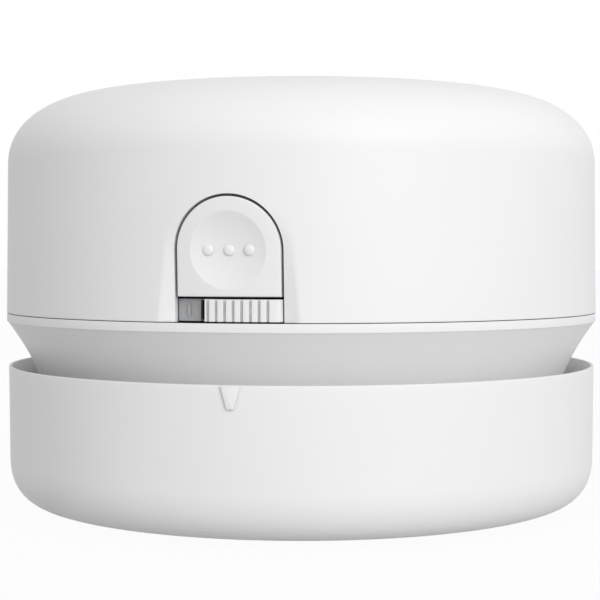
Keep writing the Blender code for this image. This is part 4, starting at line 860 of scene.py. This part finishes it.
deck_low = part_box("motor_deck")[0].z
hook_low, hook_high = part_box("latch_hook")
switch_low, switch_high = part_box("switch_body")
deck_screw_places = places_of("deck_screw", 3)
column_top = band_top - FIT
screw_seat = screw_low.z + HEAD_HEIGHT + FIT
post_bore = SMALL_SHANK + FIT

columns = pegs(shell_screw_places, COLUMN_RADIUS, housing_low.z + FIT, column_top)
posts = pegs(deck_screw_places, post_bore + POST_WALL, housing_low.z + FIT, deck_low - FIT)
shelf = block(
    (switch_low.x, -lip_bore - FIT, band_top - SWITCH_SHELF), (switch_high.x, SHELF_BACK, band_top),
)
combine(housing, gather([columns, posts, shelf]), "UNION")
head_bores = pegs(shell_screw_places, HEAD_RADIUS, housing_low.z - OVERRUN, screw_seat)
shank_bores = pegs(shell_screw_places, shank_bore, screw_seat + FIT, column_top + OVERRUN)
shank_ends = pegs(shell_screw_places, shank_bore, screw_seat - OVERRUN, screw_seat + 2 * FIT)
deck_bores = pegs(deck_screw_places, post_bore, deck_low - POST_BORE_DEPTH, deck_low + OVERRUN)
combine(housing, gather([head_bores, deck_bores]), "DIFFERENCE")
combine(housing, shank_bores, "DIFFERENCE")
combine(housing, shank_ends, "DIFFERENCE")
window = block(
    (hook_low.x - FIT, -spigot_radius - FIT, hook_low.z - FIT / 2),
    (hook_high.x + FIT, -spigot_bore + 3 * FIT, hook_low.z + CATCH_HEIGHT),
)
combine(housing, window, "DIFFERENCE")
lip_gap = block(
    (button_low.x - FIT, -lip_radius - FIT / 2, band_top),
    (button_high.x + FIT, -lip_bore + OVERRUN, housing_high.z + OVERRUN),
)
combine(housing, lip_gap, "DIFFERENCE")
print("housing has %d faces" % len(housing.data.polygons))

# %% [markdown]
# The air leaves through a ring of slots in the neck, which the cup's rim hides from the side. One
# slot is modelled with round ends, and copied round the axis, each copy with its own mesh.

# %% Exhaust slots
EXHAUST_COUNT = 24
EXHAUST_TURN_SHARE = 0.25
EXHAUST_WIDTH = 4.4 * MM
EXHAUST_HEIGHT = 2.1 * MM


def duplicate(piece):
    """Copy a piece, with a mesh of its own."""
    copy = piece.copy()
    copy.data = piece.data.copy()
    bpy.context.scene.collection.objects.link(copy)
    return copy


slot_middle = shoulder + EXHAUST_SILL + EXHAUST_HEIGHT / 2
slot_tool = prism(
    "exhaust_slot", stadium(EXHAUST_WIDTH / 2, EXHAUST_HEIGHT / 2, slot_middle, 8),
    -neck_radius - OVERRUN, -spigot_bore - HOUSING_WALL / 2,
)
slots = []
for i in range(EXHAUST_COUNT):
    slot = duplicate(slot_tool)
    slot.rotation_euler = (0, 0, math.tau * (i + EXHAUST_TURN_SHARE) / EXHAUST_COUNT + math.pi / 2)
    slots.append(settle(slot))
bpy.data.objects.remove(slot_tool, do_unlink=True)
combine(housing, gather(slots), "DIFFERENCE")
dress(housing, "white_abs", "motor_unit", "lower_housing")

# %% [markdown]
# The dust cup is a shallow bowl with a wall that thins to a fine rim. In its middle an island
# carries the intake chimney and, underneath, the groove for the brush ring. An inner collar
# receives the motor unit's spigot. All of that is one section, so it is one spin.

# %% Dust cup
CUP_DRAFT = 0.1 * MM
CUP_CORNER_HEIGHT = 6.5 * MM
CUP_CORNER_DEPTH = 5.5 * MM
CUP_POWER = 2.2
CUP_WALL = 1.8 * MM
RIM_LAND = 0.4 * MM
RIM_TAPER = 3.0 * MM
COLLAR_WALL = 1.5 * MM
INTAKE_RADIUS = 8.0 * MM
CHIMNEY_WALL = 1.5 * MM
CHIMNEY_HEIGHT = 4.2 * MM
ISLAND_WALL = 1.2 * MM
BRUSH_WIDTH = 3.4 * MM
BEND_STEPS = 32
WALL_STEPS = 12

brush_low, brush_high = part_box("brush_ring")
gasket_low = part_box("collar_gasket")[0]
wall_radius = cup_radius - CUP_DRAFT
flat_radius = wall_radius - CUP_CORNER_DEPTH
corner_top = cup_low.z + CUP_CORNER_HEIGHT
cup_floor = cup_low.z + CUP_WALL
collar_bore = spigot_radius + FIT
collar_radius = collar_bore + COLLAR_WALL
collar_top = gasket_low.z - FIT
brush_outer = brush_high.x + FIT
brush_inner = brush_high.x - BRUSH_WIDTH - FIT
groove_top = brush_high.z + FIT
island_top = groove_top + ISLAND_WALL
chimney_radius = INTAKE_RADIUS + CHIMNEY_WALL

outer_bend = []
for i in range(BEND_STEPS + 1):
    angle = math.pi / 2 * i / BEND_STEPS
    outer_bend.append((
        flat_radius + CUP_CORNER_DEPTH * math.cos(angle) ** (2 / CUP_POWER),
        corner_top - CUP_CORNER_HEIGHT * math.sin(angle) ** (2 / CUP_POWER), 0,
    ))
outer_wall = []
for i in range(1, WALL_STEPS):
    share = i / WALL_STEPS
    up = cup_high.z - (cup_high.z - corner_top) * share
    outer_wall.append((cup_radius - CUP_DRAFT * share, up, 0))
section = rounded([
    (cup_radius - RIM_LAND, cup_high.z, EDGE_FILLET),
    (cup_radius, cup_high.z, EDGE_FILLET),
    *outer_wall,
    *outer_bend,
    (brush_outer, cup_low.z, SMALL_FILLET),
    (brush_outer, groove_top, 0),
    (brush_inner, groove_top, 0),
    (brush_inner, cup_low.z, SMALL_FILLET),
    (INTAKE_RADIUS, cup_low.z, 2 * SMALL_FILLET),
    (INTAKE_RADIUS, cup_floor + CHIMNEY_HEIGHT, SMALL_FILLET),
    (chimney_radius, cup_floor + CHIMNEY_HEIGHT, SMALL_FILLET),
    (chimney_radius, island_top, SMALL_FILLET),
    (brush_outer + ISLAND_WALL, island_top, 2 * SMALL_FILLET),
    (brush_outer + ISLAND_WALL, cup_floor, SMALL_FILLET),
    (collar_bore, cup_floor, 2 * SMALL_FILLET),
    (collar_bore, collar_top, SMALL_FILLET),
    (collar_radius, collar_top, SMALL_FILLET),
    (collar_radius, cup_floor + CUP_WALL, SMALL_FILLET),
    (flat_radius + CUP_WALL, cup_floor + CUP_WALL, SMALL_FILLET),
    (wall_radius - CUP_WALL, corner_top, 4 * SMALL_FILLET),
    (wall_radius - CUP_WALL, cup_high.z - RIM_TAPER, 0),
])
cup = lathe("dust_bowl", section)

# %% [markdown]
# A raised pointer under the rim shows which way the motor unit goes in, and it stands a little to
# the right of the button's middle. It is drawn as a flat outline, extruded, and its front edges are
# softened before it is joined to the bowl. The hook's catch window and the feet's recesses are cut.

# %% Cup details
MARKER_HALF = 1.2 * MM
MARKER_TIP_HALF = 0.425 * MM
MARKER_HEIGHT = 2.9 * MM
MARKER_OFFSET = 0.4 * MM
FOOT_RECESS = 0.5 * MM
FOOT_STEPS = 64


def soften(piece, width, segments):
    """Round off a piece's sharp edges with a bevel."""
    select_only(piece)
    bevel = piece.modifiers.new("soft", "BEVEL")
    bevel.width = width
    bevel.segments = segments
    bpy.ops.object.modifier_apply(modifier="soft")


marker = prism("marker", rounded([
    (MARKER_OFFSET - MARKER_HALF, cup_high.z - EDGE_FILLET, 0),
    (MARKER_OFFSET - MARKER_TIP_HALF, cup_high.z - MARKER_HEIGHT, EDGE_FILLET),
    (MARKER_OFFSET + MARKER_TIP_HALF, cup_high.z - MARKER_HEIGHT, EDGE_FILLET),
    (MARKER_OFFSET + MARKER_HALF, cup_high.z - EDGE_FILLET, 0),
]), cup_low.y, -cup_radius + RIM_LAND)
soften(marker, EDGE_FILLET, 2)
combine(cup, marker, "UNION")
catch = block(
    (hook_low.x - FIT, -collar_radius - OVERRUN / 2, hook_low.z - FIT),
    (hook_high.x + FIT, -collar_bore + OVERRUN / 2, hook_low.z + CATCH_HEIGHT),
)
combine(cup, catch, "DIFFERENCE")
foot_low, foot_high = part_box("glide_foot_1")
foot_radius = (foot_high.x - foot_low.x) / 2
foot_places = places_of("glide_foot", 4)
recesses = pegs(
    foot_places, foot_radius + FIT, cup_low.z - OVERRUN, cup_low.z + FOOT_RECESS, FOOT_STEPS,
)
combine(cup, recesses, "DIFFERENCE")
dress(cup, "white_abs", "dust_cup", "dust_cup")

# %% [markdown]
# The release button is a small arched plate with a round finger dish. Its edges catch the light,
# so the mesh follows them: loops run from the middle of the dish out to the arch and over a small
# round edge. Every loop has the same number of points, so that each point has its own partner on
# the dish's circle and on the arch.

# %% Button outline
DISH_RADIUS = 4.75 * MM
DISH_DEPTH = 0.8 * MM
DISH_LIP = 0.04 * MM
DISH_EDGE = 0.15 * MM
ARC_POINTS = 96
SIDE_POINTS = 28

foot_drop = arch_centre - button_low.z


def arch_loop(grow):
    """Return the button's outline, moved outwards by grow, as offsets from the dish's middle."""
    half = arch_half + grow
    drop = foot_drop + min(grow, 0.0)
    points = []
    for i in range(ARC_POINTS):
        angle = math.pi * i / ARC_POINTS
        points.append(Vector((half * math.cos(angle), half * math.sin(angle))))
    for i in range(SIDE_POINTS):
        points.append(Vector((-half, -drop * i / SIDE_POINTS)))
    for i in range(2 * SIDE_POINTS):
        points.append(Vector((-half + half * i / SIDE_POINTS, -drop)))
    for i in range(SIDE_POINTS):
        points.append(Vector((half, -drop + drop * i / SIDE_POINTS)))
    return points


def round_loop(radius):
    """Return a circle whose points look in the same directions as the arch's."""
    return [point.normalized() * radius for point in arch_loop(0.0)]


print("button outline has %d points" % len(arch_loop(0.0)))

# %% [markdown]
# The button's face leans in with the slopes, and the dish is a shallow piece of a ball with a soft
# lip. One function puts a point of any outline on that face. Another puts it on an upright barrel,
# which the hidden flange behind the face follows.

# %% Button loops
BUTTON_EDGE = 0.16 * MM
FLANGE_FRONT = 2.5 * MM
FLANGE_BACK = 3.5 * MM
DISH_RINGS = 16
LIP_RINGS = 4
FACE_RINGS = 5
EDGE_RINGS = 5


def sink(distance):
    """Return how deep the dish is at a distance from its middle, with a soft lip."""
    ball = (DISH_RADIUS ** 2 + DISH_DEPTH ** 2) / (2 * DISH_DEPTH)
    deep = DISH_DEPTH - ball + math.sqrt(max(ball ** 2 - distance ** 2, 0.0))
    return -smooth_lower(-deep, 0.0, DISH_LIP)


def face_point(offset, back=0.0):
    """Place an offset on the button's leaning, dished face, and set it back by some depth."""
    up = arch_centre + offset.y
    radius = panel_radius(up) - max(sink(offset.length), 0.0) - back
    return Vector((offset.x, on_arc(radius, offset.x), up))


def barrel_point(offset, radius):
    """Place an offset on an upright barrel of this radius."""
    return Vector((offset.x, on_arc(radius, offset.x), arch_centre + offset.y))


loops = []
rings = [(DISH_RADIUS - DISH_EDGE) * i / DISH_RINGS for i in range(1, DISH_RINGS + 1)]
rings += [DISH_RADIUS + DISH_EDGE * i / LIP_RINGS for i in range(1 - LIP_RINGS, LIP_RINGS + 1)]
for radius in rings:
    loops.append([face_point(p) for p in round_loop(radius)])
inner_ring, outer_ring = round_loop(DISH_RADIUS + DISH_EDGE), arch_loop(-BUTTON_EDGE)
for i in range(1, FACE_RINGS + 1):
    loops.append([face_point(a.lerp(b, i / FACE_RINGS)) for a, b in zip(inner_ring, outer_ring)])
for i in range(1, EDGE_RINGS + 1):
    angle = math.pi / 2 * i / EDGE_RINGS
    loops.append([
        face_point(p, BUTTON_EDGE * (1 - math.cos(angle)))
        for p in arch_loop(BUTTON_EDGE * (math.sin(angle) - 1))
    ])
flange_front = body_radius - FLANGE_FRONT
flange_back = body_radius - FLANGE_BACK
loops.append([barrel_point(p, flange_front) for p in arch_loop(0.0)])
loops.append([barrel_point(p, flange_front) for p in arch_loop(FLANGE_MARGIN)])
for share in (1.0, 0.75, 0.5, 0.25):
    loops.append([barrel_point(p * share, flange_back) for p in arch_loop(FLANGE_MARGIN)])
print("button has %d loops" % len(loops))

# %% [markdown]
# The loops are pulled one out of the other with the extrude operator, as by hand. After each step
# the new ring of points is moved to its loop, and both ends are closed on a single point.

# %% Release button
def spot(place):
    """Return a place in whole microns, so that equal points can be matched."""
    return tuple(round(c, 6) for c in place)


def close_on(piece, middle):
    """Close the selected ring on a single point."""
    bpy.ops.mesh.extrude_region_move()
    bpy.ops.mesh.merge(type="CENTER")
    mesh = bmesh.from_edit_mesh(piece.data)
    for vert in mesh.verts:
        if vert.select:
            vert.co = middle
    bmesh.update_edit_mesh(piece.data)


def pull_loops(name, loops, middle_front, middle_back):
    """Start from a ring of points, extrude it loop after loop, and close both ends on a point."""
    count = len(loops[0])
    bpy.ops.mesh.primitive_circle_add(vertices=count, radius=1.0)
    piece = bpy.context.object
    piece.name = name
    piece.data.name = name
    for vert, place in zip(piece.data.vertices, loops[0]):
        vert.co = place
    bpy.ops.object.mode_set(mode="EDIT")
    for before, after in zip(loops, loops[1:]):
        where = {spot(a): b for a, b in zip(before, after)}
        bpy.ops.mesh.extrude_region_move()
        mesh = bmesh.from_edit_mesh(piece.data)
        for vert in mesh.verts:
            if vert.select:
                vert.co = where[spot(vert.co)]
        bmesh.update_edit_mesh(piece.data)
    close_on(piece, middle_back)
    mesh = bmesh.from_edit_mesh(piece.data)
    first_ring = {spot(place) for place in loops[0]}
    for vert in mesh.verts:
        vert.select = spot(vert.co) in first_ring
    mesh.select_flush(True)
    bmesh.update_edit_mesh(piece.data)
    close_on(piece, middle_front)
    bpy.ops.mesh.select_all(action="SELECT")
    bpy.ops.mesh.normals_make_consistent(inside=False)
    bpy.ops.object.mode_set(mode="OBJECT")
    return piece


bpy.ops.object.select_all(action="DESELECT")
button = pull_loops(
    "push_button", loops, face_point(Vector((0, 0))), barrel_point(Vector((0, 0)), flange_back),
)

# %% [markdown]
# Three plain raised dots stand in the dish as a sign for the finger. At the back, a short pin holds
# the return spring in line.

# %% Dots and spring pin
DOT_RADIUS = 0.7 * MM
DOT_PROUD = 0.3 * MM
DOT_PITCH = 2.6 * MM
SPRING_PIN_RADIUS = 1.2 * MM

spring_low, spring_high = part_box("button_spring")
spring_up = (spring_low.z + spring_high.z) / 2
dots = []
for i in (-1, 0, 1):
    place = face_point(Vector((i * DOT_PITCH, 0)))
    bpy.ops.mesh.primitive_uv_sphere_add(
        segments=32, ring_count=20, radius=1.0, location=place,
        scale=(DOT_RADIUS, DOT_PROUD, DOT_RADIUS),
    )
    dots.append(bpy.context.object)
combine(button, gather(dots), "UNION")
pin_front = -body_radius + FLANGE_FRONT + FIT
bpy.ops.mesh.primitive_cylinder_add(
    vertices=32, radius=SPRING_PIN_RADIUS, depth=button_high.y - pin_front,
    location=(0, (button_high.y + pin_front) / 2, spring_up), rotation=(math.pi / 2, 0, 0),
)
combine(button, bpy.context.object, "UNION")
dress(button, "white_abs", "release_button", "release_button", angle=40)

# %% [markdown]
# The slider is a curved block with eight narrow grooves for the fingertip. Seen from above, its
# outline is a short stretch of the body's circle with the grooves cut in, so the outline is drawn
# in plan with small round corners and extruded upwards. The end to the right is chamfered.

# %% Slider
GROOVE_WIDTH = 0.33 * MM
GROOVE_DEPTH = 0.45 * MM
GROOVE_PITCH = 1.06 * MM
GROOVE_COUNT = 8
GROOVE_START = 0.39 * MM
GROOVE_FILLET = 0.04 * MM
CHAMFER_WIDTH = 0.46 * MM
CHAMFER_DEPTH = 0.6 * MM
KNOB_THICKNESS = 0.8 * MM
KNOB_SET_BACK = 0.4 * MM
KNOB_STEPS = 12
LEVER_HALF = 1.2 * MM
LEVER_TALL = 0.5 * MM

knob_front = body_radius - KNOB_SET_BACK
knob_back = knob_front - KNOB_THICKNESS
plan = [
    (knob_low.x, on_arc(knob_back, knob_low.x), 0),
    (knob_low.x, on_arc(knob_front, knob_low.x), GROOVE_FILLET),
]
for i in range(GROOVE_COUNT):
    middle = knob_low.x + GROOVE_START + i * GROOVE_PITCH
    near = middle - GROOVE_WIDTH / 2
    far = middle + GROOVE_WIDTH / 2
    bottom = on_arc(knob_front - GROOVE_DEPTH, middle)
    plan += [
        (near, on_arc(knob_front, near), GROOVE_FILLET), (near, bottom, GROOVE_FILLET),
        (far, bottom, GROOVE_FILLET), (far, on_arc(knob_front, far), GROOVE_FILLET),
    ]
plan += [
    (knob_high.x - CHAMFER_WIDTH, on_arc(knob_front, knob_high.x - CHAMFER_WIDTH), GROOVE_FILLET),
    (knob_high.x, on_arc(knob_front - CHAMFER_DEPTH, knob_high.x), GROOVE_FILLET),
    (knob_high.x, on_arc(knob_back, knob_high.x), 0),
]
for i in range(1, KNOB_STEPS):
    x = knob_high.x + (knob_low.x - knob_high.x) * i / KNOB_STEPS
    plan.append((x, on_arc(knob_back, x), 0))
outline = rounded(plan, 3)
knob = draw_outline("slider", [Vector((x, y, knob_low.z)) for x, y in outline])
thicken((0, 0, knob_high.z - knob_low.z))
lever_x = (knob_low.x + knob_high.x) / 2
lever_up = (knob_low.z + knob_high.z) / 2
lever = block(
    (lever_x - LEVER_HALF, on_arc(knob_back, lever_x) - KNOB_THICKNESS / 2, lever_up - LEVER_TALL),
    (lever_x + LEVER_HALF, knob_high.y, lever_up + LEVER_TALL),
)
combine(knob, lever, "UNION")
dress(knob, "white_abs", "switch_knob", "switch_knob", angle=30)

# %% [markdown]
# Behind the slider runs a recessed strip, open in the middle for the slider's lever. It carries
# the plain signs that switches have everywhere: a bar for on at the left, and a ring for off at the
# right, under the slider.

# %% Switch strip
STRIP_THICKNESS = 0.9 * MM
SLOT_SHOWING = 0.95 * MM
RAIL_HEIGHT = 0.15 * MM
RAIL_THICKNESS = 0.4 * MM
MARK_HEIGHT = 1.3 * MM
MARK_WIDTH = 0.34 * MM
MARK_PROUD = 0.22 * MM
STRIP_STEPS = 24

strip_front = -plate_low.y
strip_back = strip_front - STRIP_THICKNESS
across = [
    plate_low.x + (plate_high.x - plate_low.x) * i / STRIP_STEPS for i in range(STRIP_STEPS + 1)
]
front_arc = [Vector((x, on_arc(strip_front, x), plate_low.z)) for x in across]
back_arc = [Vector((x, on_arc(strip_back, x), plate_low.z)) for x in reversed(across)]
strip = draw_outline("switch_strip", front_arc + back_arc)
thicken((0, 0, plate_high.z - plate_low.z))
slot_left = knob_low.x - SLOT_SHOWING
slot_right = lever_x + LEVER_HALF + FIT
opening = block(
    (slot_left, -body_radius, plate_low.z + RAIL_HEIGHT),
    (slot_right, -strip_back + OVERRUN, plate_high.z - RAIL_HEIGHT),
)
combine(strip, opening, "DIFFERENCE")
rail_step = block(
    (slot_left, -body_radius, plate_low.z - OVERRUN),
    (slot_right, -strip_back - RAIL_THICKNESS, plate_high.z + OVERRUN),
)
combine(strip, rail_step, "DIFFERENCE")
bar_x = (plate_low.x + slot_left) / 2
bar_y = on_arc(strip_front, bar_x)
bar = block(
    (bar_x - MARK_WIDTH / 2, bar_y - MARK_PROUD, lever_up - MARK_HEIGHT / 2),
    (bar_x + MARK_WIDTH / 2, bar_y + 2 * MARK_PROUD, lever_up + MARK_HEIGHT / 2),
)
combine(strip, bar, "UNION")
ring_x = (plate_high.x + slot_right) / 2
bpy.ops.mesh.primitive_torus_add(
    major_radius=(MARK_HEIGHT - MARK_WIDTH) / 2, minor_radius=MARK_WIDTH / 2,
    major_segments=32, minor_segments=10, location=(ring_x, on_arc(strip_front, ring_x), lever_up),
    rotation=(math.pi / 2, 0, 0),
)
combine(strip, bpy.context.object, "UNION")
dress(strip, "light_grey_abs", "motor_unit", "switch_plate")

# %% [markdown]
# Under the cup, the brush ring is a moulded ring with nylon bristles. One strand is modelled as a
# thin tapering rod with few faces, and copied a few hundred times, each copy leaning a little its
# own way. The numbers come from one seeded generator, so every run gives the same brush.

# %% Brush ring
BRUSH_BACKING = 1.0 * MM
BRISTLE_RADIUS = 0.17 * MM
BRISTLE_TIP_SHARE = 0.7
BRISTLE_ROWS = ((0.55, 84), (1.25, 90), (2.0, 96), (2.75, 102))
BRISTLE_LEAN = 0.07
PITCH_STRAY_SHARE = 0.25
ROW_STRAY = 0.12
SHORTEST_SHARE = 0.94

inner_radius = brush_high.x - BRUSH_WIDTH
section = rounded([
    (brush_high.x, brush_high.z, SMALL_FILLET),
    (brush_high.x, brush_high.z - BRUSH_BACKING, SMALL_FILLET),
    (inner_radius, brush_high.z - BRUSH_BACKING, SMALL_FILLET),
    (inner_radius, brush_high.z, SMALL_FILLET),
])
brush = lathe("intake_brush", section)
length = brush_high.z - BRUSH_BACKING - brush_low.z
draws = random.Random(7)
strands = [brush]
for inset_mm, count in BRISTLE_ROWS:
    for i in range(count):
        angle = math.tau * (i + draws.uniform(-PITCH_STRAY_SHARE, PITCH_STRAY_SHARE)) / count
        radius = inner_radius + inset_mm * MM + draws.uniform(-ROW_STRAY, ROW_STRAY) * MM
        reach = length * draws.uniform(SHORTEST_SHARE, 1.0)
        middle = brush_high.z - BRUSH_BACKING - reach / 2 + FIT / 3
        lean = [draws.uniform(-BRISTLE_LEAN, BRISTLE_LEAN) for _ in range(2)]
        bpy.ops.mesh.primitive_cone_add(
            vertices=5, radius1=BRISTLE_TIP_SHARE * BRISTLE_RADIUS, radius2=BRISTLE_RADIUS,
            depth=reach,
            location=(radius * math.cos(angle), radius * math.sin(angle), middle),
            rotation=(*lean, angle),
        )
        strands.append(bpy.context.object)
brush = gather(strands)
dress(brush, "nylon_bristle", "dust_cup", "brush_ring", angle=60)

# %% [markdown]
# The feet are low rubber pads. They are the only thing that touches the desk, so their lower
# edge is well rounded, and each copy gets its own mesh.

# %% Glide feet
section = rounded([
    (0, foot_high.z, 0), (foot_radius, foot_high.z, SMALL_FILLET / 2),
    (foot_radius, 0, 2 * SMALL_FILLET), (0, 0, 0),
], 6)
first = lathe("foot_pad", section, arcs=((math.tau, FOOT_STEPS),))
for number, (x, y) in enumerate(foot_places, 1):
    pad = duplicate(first)
    pad.name = "foot_pad_%d" % number
    pad.location = (x, y, 0)
    dress(pad, "soft_rubber", "dust_cup", "glide_foot_%d" % number)
bpy.data.objects.remove(first, do_unlink=True)

# %% [markdown]
# At the back, the charging socket is a drawn steel shell with a plastic tongue in it. Both come
# from the same slot outline, one inside the other.

# %% Charging socket
SOCKET_SKIN = 0.4 * MM
SOCKET_DEPTH = 6.2 * MM
TONGUE_HALF = 3.2 * MM
TONGUE_TALL = 0.35 * MM
TONGUE_SET_BACK = 1.0 * MM
TONGUE_FILLET = 0.15 * MM

socket = prism(
    "charge_port", stadium(socket_half, socket_tall, socket_middle, 24),
    socket_low.y, socket_high.y,
)
hollow = prism(
    "hollow", stadium(socket_half - SOCKET_SKIN, socket_tall - SOCKET_SKIN, socket_middle, 24),
    socket_high.y - SOCKET_DEPTH, socket_high.y + OVERRUN,
)
combine(socket, hollow, "DIFFERENCE")
dress(socket, "zinc_steel", "motor_unit", "charge_socket")
tongue = block(
    (-TONGUE_HALF, socket_high.y - SOCKET_DEPTH, socket_middle - TONGUE_TALL),
    (TONGUE_HALF, socket_high.y - TONGUE_SET_BACK, socket_middle + TONGUE_TALL),
)
tongue.name = "socket_tongue"
soften(tongue, TONGUE_FILLET, 3)
dress(tongue, "dark_abs", "motor_unit")

# %% [markdown]
# The pieces inside keep their solids from the frame, and each gets the finish of what it is.

# %% Finishes of the inner pieces
for part in frame["record"]["subparts"]:
    node = frame["nodes"][part["node"]]
    finish = drawn_steel if part["node"] == "motor_can" else finishes[part["material_slot"]]
    node.data.materials.clear()
    node.data.materials.append(finish)
